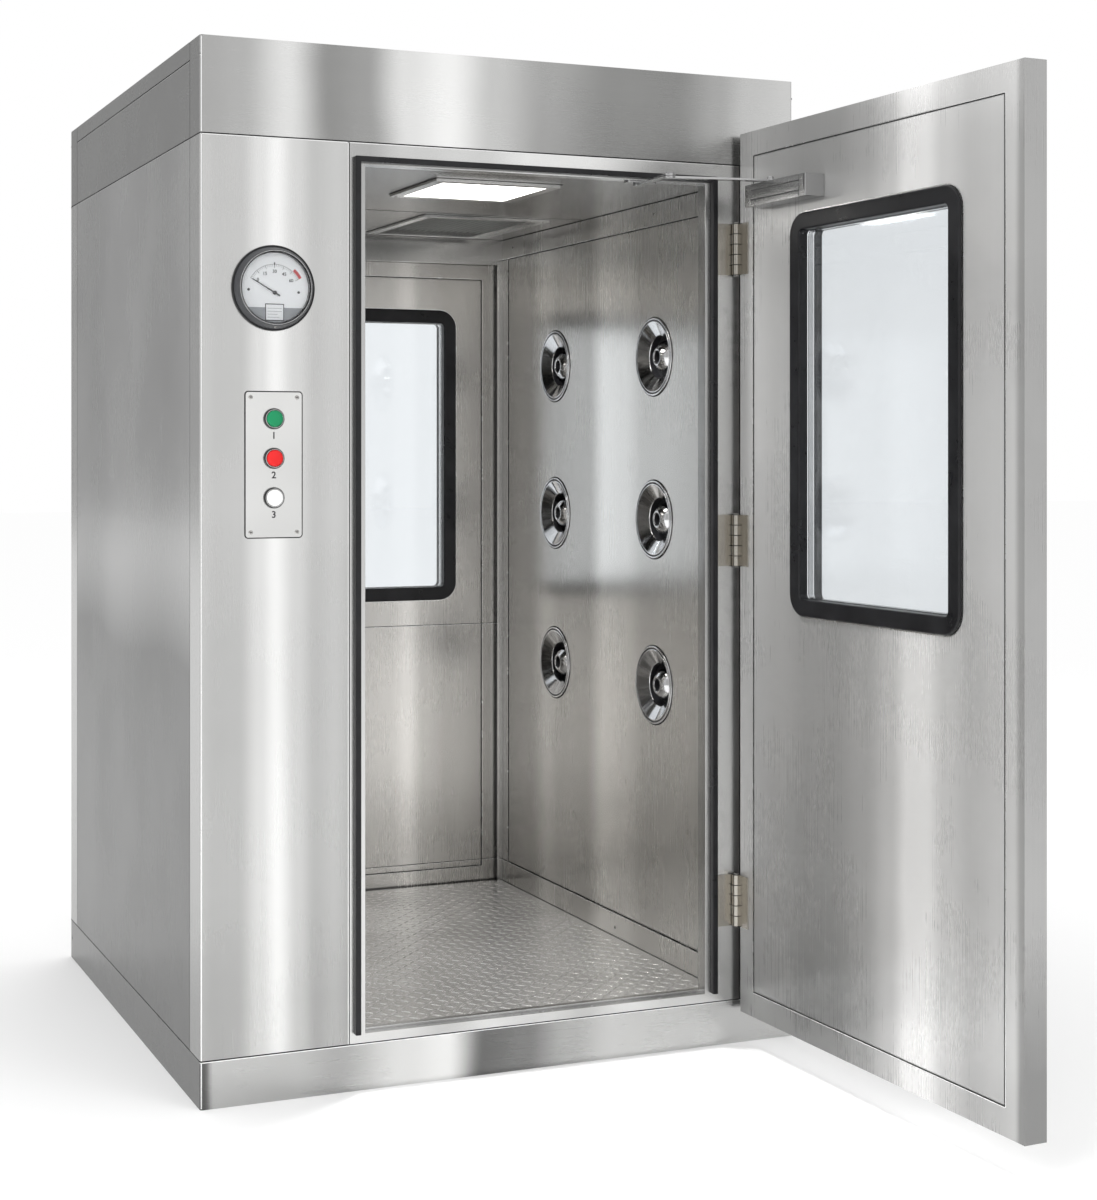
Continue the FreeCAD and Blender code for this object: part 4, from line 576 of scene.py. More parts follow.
class Finishes:
    """Every finish of the cabinet, made once when first asked for."""

    def __init__(self) -> None:
        """List the finishes by name."""
        warm = (0.98, 0.965, 0.94)
        self.makers: dict[str, Maker] = {}
        self.made: dict[str, bpy.types.Material] = {}
        for finish in (
            # The band tables below are painted reflections, bright and dark, in each sheet's
            # colour.
            BrushedSteel("steel_upright", Brush.UPRIGHT, bands=(
                (-0.69, 0.45), (-0.65, 0.38), (-0.60, 0.40), (-0.55, 0.72), (-0.515, 1.0),
                (-0.475, 0.60), (-0.44, 0.38), (-0.40, 0.46), (-0.36, 0.36), (0.5, 0.4)),
                fade=(0.34, 0.2, 1.2)),
            BrushedSteel("steel_side", Brush.UPRIGHT, (0.78, 0.78, 0.775),
                         (0.15, 0.15, 0.148), axis="Y", wave=0.0012, bands=(
                (-0.7, 0.74), (-0.35, 0.60), (0.1, 0.70), (0.4, 0.56), (0.7, 0.62)),
                fade=(0.95, 0.75, 1.15)),
            BrushedSteel("steel_level", Brush.ACROSS, bands=(
                (-0.70, 0.28), (-0.67, 0.22), (-0.60, 0.28), (-0.50, 0.72), (-0.41, 0.05),
                (-0.33, 0.12), (-0.24, 0.74), (-0.15, 0.95), (-0.05, 0.46), (0.08, 0.18),
                (0.24, 0.0), (0.38, 0.0), (0.48, 0.20), (0.56, 0.40), (0.70, 0.52)),
                dull=(0.27, 0.27, 0.265)),
            BrushedSteel("steel_plinth", Brush.ACROSS, dull=(0.12, 0.12, 0.118), bands=(
                (-0.70, 0.0), (-0.672, 0.0), (-0.655, 0.46), (-0.50, 0.42),
                (-0.40, 0.30), (-0.25, 0.66), (-0.16, 0.80), (-0.07, 0.04),
                (0.03, 0.10), (0.13, 0.36), (0.24, 0.58), (0.45, 0.54), (0.70, 0.56))),
            BrushedSteel("steel_frame", Brush.UPRIGHT, roughness=0.24, wave=0.0006),
            BrushedSteel("steel_wall", Brush.UPRIGHT, warm, (0.34, 0.33, 0.315),
                         roughness=0.27, wave=0.002, axis="Y", bands=(
                (-0.66, 0.80), (-0.45, 0.74), (-0.27, 0.62), (-0.16, 0.92), (-0.06, 1.0),
                (0.05, 0.34), (0.20, 0.42), (0.30, 0.66), (0.42, 0.18), (0.62, 0.0))),
            # Ceiling steel kept much darker than the wall steel: painted shade of the cabin
            # ceiling.
            BrushedSteel("steel_ceiling_painted_shade", Brush.ACROSS, (0.36, 0.35, 0.335),
                         (0.16, 0.155, 0.15), roughness=0.24, anisotropy=0.0, wave=0.002),
            BrushedSteel("steel_door", Brush.UPRIGHT, (1.0, 0.995, 0.985),
                         (0.24, 0.24, 0.237), roughness=0.28, wave=0.002, axis="Y", bands=(
                (-1.67, 0.15), (-1.645, 0.20), (-1.625, 0.55), (-1.58, 0.50),
                (-1.50, 0.46), (-1.41, 0.66), (-1.35, 1.0), (-1.30, 1.0), (-1.24, 0.60),
                (-1.16, 0.36), (-1.06, 0.24), (-0.95, 0.24), (-0.84, 0.34),
                (-0.76, 0.40), (-0.68, 0.28)), fade=(0.25, 0.15, 0.45), metal=0.62),
            BrushedSteel("steel_exit_door", Brush.UPRIGHT, warm, (0.44, 0.43, 0.41),
                         wave=0.0008, bands=(
                (-0.40, 0.30), (-0.25, 0.55), (-0.05, 0.30), (0.10, 0.50), (0.17, 0.62),
                (0.235, 1.0), (0.29, 0.44), (0.36, 0.22), (0.44, 0.26), (0.52, 0.05))),
            BrushedSteel("steel_fitting", Brush.SATIN, (0.82, 0.82, 0.81),
                         (0.60, 0.60, 0.59), roughness=0.22, anisotropy=0.0, wave=0.0),
            BrushedSteel("steel_tread", Brush.SATIN, (0.86, 0.85, 0.83),
                         (0.50, 0.49, 0.47), roughness=0.24, anisotropy=0.0, wave=0.0,
                         metal=0.70),
            BrushedSteel("steel_bars", Brush.SATIN, (1.0, 0.99, 0.97),
                         (0.82, 0.81, 0.79), roughness=0.19, anisotropy=0.0, wave=0.0,
                         metal=0.80),
            Polished("nozzle_chrome", (0.78, 0.78, 0.79), 0.10),
            Polished("closer_chrome", (0.52, 0.52, 0.52), 0.13),
            # Bright strips laid beside joints and door lines: painted highlights of folded
            # edges.
            Polished("painted_fold_highlight", (0.97, 0.97, 0.965), 0.24),
            Polished("hinge_nickel", (0.46, 0.435, 0.39), 0.17, 0.08),
            Polished("screw_steel", (0.50, 0.49, 0.47), 0.22),
            BrushedSteel("closer_silver", Brush.SATIN, (0.66, 0.66, 0.66),
                         (0.44, 0.44, 0.44), roughness=0.24, anisotropy=0.0, wave=0.0),
            # Dark strips and rings laid in joints, gaps and round rims: painted shade of the
            # gaps.
            Moulded("painted_gap_shade", (0.010, 0.010, 0.010), 0.6, 0.00004, 700.0, 1.6,
                    gloss=0.12),
            Moulded("black_rubber", (0.006, 0.006, 0.007), 0.30, 0.00002, 700.0, 1.7,
                    gloss=0.30),
            # Black of the gauge case and bezels; in the nozzles the same black lines grooves,
            # throats and bores as painted shade.
            Moulded("gauge_black", (0.010, 0.010, 0.011), 0.28, 0.00003, 900.0, 1.7,
                    gloss=0.32),
            Moulded("gauge_grey", (0.045, 0.046, 0.050), 0.32, gloss=0.40),
            Moulded("dial_white", (0.95, 0.955, 0.965), 0.5, 0.00001, 900.0, 1.0,
                    gloss=0.2),
            # Black print; the same black is laid in screw recesses and in the closer's grooves
            # and slot as painted shade.
            Moulded("print_and_shade_black", (0.018, 0.018, 0.02), 0.5),
            Moulded("print_red", (0.62, 0.045, 0.05), 0.45),
            Moulded("print_grey", (0.30, 0.31, 0.33), 0.5),
            Moulded("button_green", (0.004, 0.22, 0.085), 0.30, 0.00001, 900.0, 1.05,
                    gloss=0.28),
            Moulded("button_red", (0.66, 0.012, 0.012), 0.30, 0.00001, 900.0, 1.05,
                    gloss=0.28),
            Moulded("button_white", (0.90, 0.90, 0.89), 0.30, 0.00001, 900.0, 1.05,
                    gloss=0.28),
            Moulded("motor_paint", (0.05, 0.06, 0.07), 0.45, 0.0001),
            Moulded("control_paint", (0.62, 0.62, 0.60), 0.5, 0.0001, 500.0, 1.05),
            BrushedSteel("galvanised", Brush.SATIN, (0.60, 0.62, 0.64),
                         (0.44, 0.46, 0.48), roughness=0.4, anisotropy=0.0, wave=0.0),
            ClearGlass("window_glass"),
            ClearGlass("gauge_lens", (0.97, 0.98, 0.985), 0.01),
            Fleece("filter_fleece"),
        ):
            self.makers[finish.name] = finish.make

    def add(self, finish: Any) -> None:
        """Add one more finish."""
        self.makers[finish.name] = finish.make

    def get(self, name: str) -> bpy.types.Material:
        """Fetch a finish by name.

        Args:
            name: The finish's name.

        Returns:
            Its material.
        """
        if name not in self.made:
            self.made[name] = self.makers[name]()
        return self.made[name]


FINISHES = Finishes()


# Mesh making.
def metres(points: Sequence[Flat]) -> list[Flat]:
    """Profile points from millimetres to metres."""
    return [(radius * MM, rise * MM) for radius, rise in points]


def soften(part: bmesh.types.BMesh, edges: Sequence[bmesh.types.BMEdge], width: float,
           steps: int) -> None:
    """Round edges off.

    Args:
        part: The mesh.
        edges: The edges to round.
        width: Width of the bevel.
        steps: Facets across it.
    """
    bmesh.ops.bevel(part, geom=edges, offset=width, offset_type="OFFSET", affect="EDGES",
                    segments=steps, profile=0.5, clamp_overlap=True, material=-1)


class Shaper:
    """One piece's mesh, shaped with bmesh operators in the cabinet's own frame."""

    def __init__(self, name: str) -> None:
        """Start an empty mesh.

        Args:
            name: The piece's name.
        """
        self.name = name
        self.bm = bmesh.new()
        self.finish_names: list[str] = []
        self.current = 0

    def use(self, finish: str) -> "Shaper":
        """Give the faces that follow a finish.

        Args:
            finish: The finish's name.

        Returns:
            This shaper, for the next call.
        """
        if finish not in self.finish_names:
            self.finish_names.append(finish)
        self.current = self.finish_names.index(finish)
        return self

    def rings_mm(self, place: Matrix, steps: int,
                 turned: Sequence[tuple[str, Sequence[Flat]]]) -> None:
        """Turn closed profiles given in millimetres, each in its own finish.

        Args:
            place: Takes the rings to their place.
            steps: Facets round the turn.
            turned: Finish and profile of each ring.
        """
        for finish, points in turned:
            self.use(finish).lathe(metres(points), place, steps, closed=True)

    def _absorb(self, part: bmesh.types.BMesh, matrix: Matrix, outwards: bool = True
                ) -> None:
        """Take in a part that was shaped on its own, in the current finish.

        Args:
            part: The part's mesh.
            matrix: Takes it to its place.
            outwards: Turn its faces outwards first.
        """
        if outwards:
            bmesh.ops.recalc_face_normals(part, faces=list(part.faces))
        bmesh.ops.transform(part, matrix=matrix, verts=list(part.verts))
        for face in part.faces:
            face.material_index = self.current
        mesh = bpy.data.meshes.new(self.name + "_part")
        part.to_mesh(mesh)
        part.free()
        self.bm.from_mesh(mesh)
        bpy.data.meshes.remove(mesh)

    def box(self, low: Sequence[float], high: Sequence[float], soft: float = 0.0,
            matrix: Matrix = Matrix.Identity(4), steps: int = 2) -> None:
        """Add a box between two corners, with softened edges.

        Args:
            low: Lowest corner.
            high: Highest corner.
            soft: Width of the bevel.
            matrix: Takes the box to its place.
            steps: Facets across the bevel.
        """
        part = bmesh.new()
        size = Vector(high) - Vector(low)
        middle = (Vector(high) + Vector(low)) / 2
        shape = Matrix.Translation(middle) @ Matrix.Diagonal((*size, 1.0))
        bmesh.ops.create_cube(part, size=1.0, matrix=shape)
        if soft > 0:
            soften(part, list(part.edges), soft, steps)
        self._absorb(part, matrix)

    def lathe(self, profile: Sequence[Flat], matrix: Matrix, steps: int = 48,
              closed: bool = False) -> None:
        """Turn a profile of (radius, height) points about the upright axis.

        Args:
            profile: The points in order.
            matrix: Takes the turned shape to its place.
            steps: Facets round the turn.
            closed: Join the last point to the first.
        """
        part = bmesh.new()
        verts = [part.verts.new((radius, 0.0, height)) for radius, height in profile]
        edges = [part.edges.new(pair) for pair in zip(verts, verts[1:])]
        if closed:
            edges.append(part.edges.new((verts[-1], verts[0])))
        bmesh.ops.spin(part, geom=verts + edges, cent=(0, 0, 0), axis=(0, 0, 1),
                       angle=math.tau, steps=steps, use_merge=True, use_duplicate=False)
        bmesh.ops.remove_doubles(part, verts=list(part.verts), dist=1e-6)
        self._absorb(part, matrix)

    def sweep_frame(self, profile: Sequence[Flat], width: float, height: float,
                    radius: float, matrix: Matrix, steps: int = 8) -> None:
        """Carry a closed profile round a rectangle with round corners.

        Args:
            profile: Points (inwards from the outer line, up from the plane).
            width: Outer width, along X.
            height: Outer height, along Y.
            radius: Outer corner radius.
            matrix: Takes the frame to its place.
            steps: Facets round each corner.
        """
        part = bmesh.new()
        across, up = width / 2 - radius, height / 2 - radius
        verts = [part.verts.new((-across, -up - radius + inwards, rise))
                 for inwards, rise in profile]
        edges = [part.edges.new((verts[index - 1], verts[index]))
                 for index in range(len(verts))]
        corners = ((across, -up), (across, up), (-across, up), (-across, -up))
        runs = ((2 * across, 0), (0, 2 * up), (-2 * across, 0), (0, -2 * up))
        for (cx, cy), (dx, dy) in zip(corners, runs):
            grown = bmesh.ops.extrude_edge_only(part, edges=edges)["geom"]
            moved = [item for item in grown if isinstance(item, bmesh.types.BMVert)]
            edges = [item for item in grown if isinstance(item, bmesh.types.BMEdge)
                     and all(vert in moved for vert in item.verts)]
            bmesh.ops.translate(part, verts=moved, vec=(dx, dy, 0))
            spun = bmesh.ops.spin(part, geom=moved + edges, cent=(cx, cy, 0),
                                  axis=(0, 0, 1), angle=math.pi / 2, steps=steps,
                                  use_duplicate=False)["geom_last"]
            edges = [item for item in spun if isinstance(item, bmesh.types.BMEdge)]
        bmesh.ops.remove_doubles(part, verts=list(part.verts), dist=1e-6)
        self._absorb(part, matrix)

    def plate(self, width: float, height: float, radius: float, thickness: float,
              matrix: Matrix, steps: int = 6) -> None:
        """Add a flat plate with round corners, its back on the plane.

        Args:
            width: Along X.
            height: Along Y.
            radius: Corner radius.
            thickness: Along Z.
            matrix: Takes the plate to its place.
            steps: Facets round each corner.
        """
        part = bmesh.new()
        shape = (Matrix.Translation((0, 0, thickness / 2))
                 @ Matrix.Diagonal((width, height, thickness, 1.0)))
        bmesh.ops.create_cube(part, size=1.0, matrix=shape)
        uprights = [edge for edge in part.edges
                    if abs(edge.verts[0].co.z - edge.verts[1].co.z) > thickness / 2]
        soften(part, uprights, radius, steps)
        self._absorb(part, matrix)

    def screw(self, matrix: Matrix, radius: float = 0.004, rise: float = 0.0016,
              metal: str = "screw_steel") -> None:
        """Add a pan-head screw with a dark cross for its recess, which is painted shade, its
        seat on the plane.

        Args:
            matrix: Takes the screw to its place.
            radius: Head radius.
            rise: Head height.
            metal: The head's finish.
        """
        self.use(metal).lathe(((radius, 0.0), (radius, rise * 0.35),
                               (radius * 0.85, rise * 0.8), (radius * 0.6, rise),
                               (0.0, rise)), matrix, 16)
        arm, half = radius * 0.55, radius * 0.13
        # Dark cross standing for the recess: painted shade.
        self.use("print_and_shade_black")
        self.box((-arm, -half, rise * 0.5), (arm, half, rise * 1.03), matrix=matrix)
        self.box((-half, -arm, rise * 0.5), (half, arm, rise * 1.02), matrix=matrix)

    def segment(self, radius: float, chord: float, low: float, high: float,
                matrix: Matrix) -> None:
        """Add the part of a disc that lies under a level chord.

        Args:
            radius: The disc's radius.
            chord: Where the chord lies, along Y.
            low: Height of the back.
            high: Height of the front.
            matrix: Takes the segment to its place.
        """
        part = bmesh.new()
        bmesh.ops.create_circle(part, cap_ends=True, segments=64, radius=radius,
                                matrix=Matrix.Translation((0, 0, low)))
        geom = list(part.verts) + list(part.edges) + list(part.faces)
        bmesh.ops.bisect_plane(part, geom=geom, plane_co=(0, chord, 0),
                               plane_no=(0, 1, 0), clear_outer=True)
        grown = bmesh.ops.extrude_face_region(part, geom=list(part.faces))["geom"]
        lifted = [item for item in grown if isinstance(item, bmesh.types.BMVert)]
        bmesh.ops.translate(part, verts=lifted, vec=(0, 0, high - low))
        self._absorb(part, matrix)

    def figure(self, text: str, height: float, matrix: Matrix, depth: float) -> None:
        """Add a plain figure as a raised print.

        Args:
            text: One or two digits.
            height: Letter height.
            matrix: Takes the figure to its place.
            depth: How far it stands out.
        """
        curve = bpy.data.curves.new(self.name + "_figure", "FONT")
        curve.body = text
        curve.size = height / 0.7
        curve.align_x = "CENTER"
        curve.align_y = "CENTER"
        curve.extrude = depth / 2
        curve.resolution_u = 3
        curve.offset = height * 0.03
        holder = bpy.data.objects.new(self.name + "_figure", curve)
        mesh = bpy.data.meshes.new_from_object(holder)
        part = bmesh.new()
        part.from_mesh(mesh)
        bpy.data.objects.remove(holder)
        bpy.data.meshes.remove(mesh)
        bpy.data.curves.remove(curve)
        bmesh.ops.remove_doubles(part, verts=list(part.verts), dist=1e-7)
        self._absorb(part, matrix, outwards=False)

    def cad(self, node: str, soft: float, sharp: float = 30.0, steps: int = 2) -> None:
        """Add a merged copy of a CAD node with softened edges.

        Args:
            node: The CAD node.
            soft: Width of the bevel; nought leaves the edges square.
            sharp: Smallest angle between faces that counts as an edge, in degrees.
            steps: Facets across the bevel.
        """
        part = bmesh.new()
        part.from_mesh(frame["nodes"][node].data)
        bmesh.ops.remove_doubles(part, verts=list(part.verts), dist=1e-5)
        bmesh.ops.dissolve_limit(part, angle_limit=math.radians(0.5),
                                 verts=list(part.verts), edges=list(part.edges))
        if soft > 0:
            edges = [edge for edge in part.edges if len(edge.link_faces) == 2
                     and edge.calc_face_angle(0.0) > math.radians(sharp)]
            soften(part, edges, soft, steps)
        self._absorb(part, Matrix.Identity(4), outwards=False)

    def repeat(self, counts: tuple[int, int], step: float) -> None:
        """Repeat the whole mesh in rows and columns.

        Args:
            counts: How many along X and along Y.
            step: Spacing in metres.
        """
        mesh = bpy.data.meshes.new(self.name + "_tile")
        self.bm.to_mesh(mesh)
        holder = bpy.data.objects.new(self.name + "_tile", mesh)
        bpy.context.scene.collection.objects.link(holder)
        for axis, count in enumerate(counts):
            array = holder.modifiers.new("repeat", "ARRAY")
            array.count = count
            array.use_relative_offset = False
            array.use_constant_offset = True
            array.constant_offset_displace = [step if part == axis else 0.0
                                              for part in range(3)]
        seen = holder.evaluated_get(bpy.context.evaluated_depsgraph_get())
        rows = bpy.data.meshes.new_from_object(seen)
        self.bm.clear()
        self.bm.from_mesh(rows)
        bpy.data.objects.remove(holder)
        bpy.data.meshes.remove(mesh)
        bpy.data.meshes.remove(rows)

    def done(self, body: str, slot: str, replaces: Iterable[str] = (),
             smooth: float = 32.0) -> bpy.types.Object:
        """Turn the mesh into a finished piece.

        Args:
            body: The body it moves with.
            slot: Not used.
            replaces: CAD nodes that it stands for.
            smooth: Angle up to which faces shade as one, in degrees.

        Returns:
            The new object.
        """
        for edge in self.bm.edges:
            linked = len(edge.link_faces) == 2
            edge.smooth = linked and edge.calc_face_angle(0.0) < math.radians(smooth)
        for face in self.bm.faces:
            face.smooth = True
        mesh = bpy.data.meshes.new(self.name)
        self.bm.to_mesh(mesh)
        self.bm.free()
        for name in self.finish_names:
            mesh.materials.append(FINISHES.get(name))
        piece = bpy.data.objects.new(self.name, mesh)
        bpy.context.scene.collection.objects.link(piece)
        shading = piece.modifiers.new("shading", "WEIGHTED_NORMAL")
        shading.keep_sharp = True
        seen = piece.evaluated_get(bpy.context.evaluated_depsgraph_get())
        shaded = bpy.data.meshes.new_from_object(seen)
        piece.modifiers.clear()
        piece.data = shaded
        bpy.data.meshes.remove(mesh)
        shaded.name = self.name
        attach(piece, body)
        nodes = list(replaces)
        if nodes:
            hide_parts(*nodes)
        LOG.info("%s: %d faces", self.name, len(shaded.polygons))
        return piece


def dress(node: str, finish: str) -> None:
    """Give a CAD node that stays in view its finish.

    Args:
        node: The CAD node.
        finish: The finish's name.
    """
    mesh = frame["nodes"][node].data
    mesh.materials.clear()
    mesh.materials.append(FINISHES.get(finish))


def reworked(node: str, finish: str, slot: str, body: str = "casing",
             soft: float = 0.0006, steps: int = 2) -> bpy.types.Object:
    """Stand a softened copy in for a CAD node.

    Args:
        node: The CAD node.
        finish: The finish's name.
        slot: The record's material slot.
        body: The body it moves with.
        soft: Width of the softened edges.
        steps: Facets across each softened edge.

    Returns:
        The new piece.
    """
    shaper = Shaper(node + "_finished").use(finish)
    shaper.cad(node, soft, steps=steps)
    return shaper.done(body, slot, [node])


def facing(place: Sequence[float], normal: Sequence[float],
           up: Sequence[float] = (0, 0, 1)) -> Matrix:
    """Matrix whose Z runs along a normal, at a place.

    Args:
        place: Where the origin goes.
        normal: Where Z points.
        up: Roughly where Y points.

    Returns:
        The matrix.
    """
    z = Vector(normal).normalized()
    x = Vector(up).cross(z).normalized()
    y = z.cross(x)
    turn = Matrix((x, y, z)).transposed().to_4x4()
    return Matrix.Translation(Vector(place)) @ turn


@dataclass(frozen=True)
class Plan:
    """Main sizes of the cabinet in metres."""

    left: float = -0.6825
    right: float = 0.6825
    front: float = -0.670
    cabin_left: float = -0.3675
    cabin_right: float = 0.5105
    floor: float = 0.117
    ceiling: float = 1.908


PLAN = Plan()


@dataclass
class Casing:
    """Folded panels, header, plinth and the doorway rings with their gaskets."""

    soft: float = 0.0007
    plug_place: Point = (-0.6825, 0.649, 0.052)
    plug_radius: float = 0.0045

    def build(self) -> None:
        """Dress the casing."""
        for node, finish, slot in (
            ("left_column_panel", "steel_upright", "steel_panel"),
            ("corner_panels", "steel_upright", "steel_panel"),
            ("side_panels", "steel_side", "steel_panel"),
            ("front_header_panel", "steel_level", "steel_header"),
            ("header_cladding", "steel_level", "steel_header"),
            ("cabinet_frame", "steel_plinth", "steel_plinth"),
            ("front_door_frame", "steel_frame", "steel_frame"),
            ("rear_door_frame", "steel_frame", "steel_frame"),
        ):
            reworked(node, finish, slot, soft=self.soft)
        reworked("frame_gaskets", "black_rubber", "black_rubber", soft=0.002)
        self.make_plug()

    def make_plug(self) -> None:
        """Blind plug in the plinth's left side, near the rear."""
        plug = Shaper("plinth_plug").use("black_rubber")
        inset = Vector(self.plug_place) + Vector((0.0009, 0, 0))
        plug.lathe(((self.plug_radius, 0.0), (self.plug_radius, 0.0004),
                    (self.plug_radius * 0.8, 0.0009), (0.0, 0.0009)),
                   facing(inset, (-1, 0, 0)), 20)
        plug.done("casing", "black_rubber")


@dataclass
class Cabin:
    """Lining, trims with their screws, and the tread plate with its raised bars."""

    pitch: float = 0.026
    bar: Point = (0.0145, 0.0036, 0.0014)
    wall_margin: float = 0.012
    screw_radius: float = 0.0042

    def build(self) -> None:
        """Dress the cabin."""
        for node in ("left_nozzle_wall", "right_nozzle_wall"):
            dress(node, "steel_wall")
        dress("ceiling_panel", "steel_ceiling_painted_shade")
        reworked("cabin_trims", "steel_wall", "steel_lining", soft=0.0007)
        dress("floor_plate", "steel_tread")
        self.make_bars()
        self.make_screws()

    def make_bars(self) -> None:
        """Raised lens-shaped bars, each turned across its neighbours."""
        low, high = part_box("floor_plate")
        pair = 2 * self.pitch
        across = int((high.x - low.x - 2 * self.wall_margin) / pair)
        along = int((high.y - low.y - 2 * self.wall_margin) / pair)
        start = Vector(((low.x + high.x - (across - 0.5) * pair) / 2,
                        (low.y + high.y - (along - 0.5) * pair) / 2, high.z))
        tile = Shaper("tread_bars").use("steel_bars")
        shape = Matrix.Diagonal((*self.bar, 1.0))
        for column, row in ((0, 0), (1, 0), (0, 1), (1, 1)):
            turn = math.radians(45 if column == row else -45)
            place = start + Vector((column * self.pitch, row * self.pitch, 0))
            bmesh.ops.create_uvsphere(
                tile.bm, u_segments=8, v_segments=6, radius=1.0,
                matrix=Matrix.Translation(place) @ Matrix.Rotation(turn, 4, "Z") @ shape)
        geom = list(tile.bm.verts) + list(tile.bm.edges) + list(tile.bm.faces)
        bmesh.ops.bisect_plane(tile.bm, geom=geom, plane_co=start - Vector((0, 0, 1e-5)),
                               plane_no=(0, 0, 1), clear_inner=True)
        rims = [edge for edge in tile.bm.edges if edge.is_boundary]
        bmesh.ops.holes_fill(tile.bm, edges=rims, sides=12)
        bmesh.ops.recalc_face_normals(tile.bm, faces=list(tile.bm.faces))
        tile.repeat((across, along), pair)
        tile.done("casing", "tread_plate", smooth=60.0)

    def make_screws(self) -> None:
        """Trim screws on the right wall, and the left wall's like them."""
        screws = Shaper("cabin_screws")
        walls = ((PLAN.cabin_right - 0.002, -1.0), (PLAN.cabin_left + 0.002, 1.0))
        trims = ((-0.579, 1.895), (-0.329, 1.880), (0.246, 1.880), (0.520, 1.880),
                 (-0.579, 0.140), (-0.120, 0.140), (0.520, 0.140))
        corner, strip = 0.574, (1.736, 0.922, 0.222)
        for wall, way in walls:
            for depth, height in trims:
                screws.screw(facing((wall, depth, height), (way, 0, 0)),
                             self.screw_radius)
            for height in strip:
                screws.screw(facing((wall - 0.002 * way, corner, height), (way, 0, 0)),
                             self.screw_radius)
        screws.done("casing", "steel_lining")


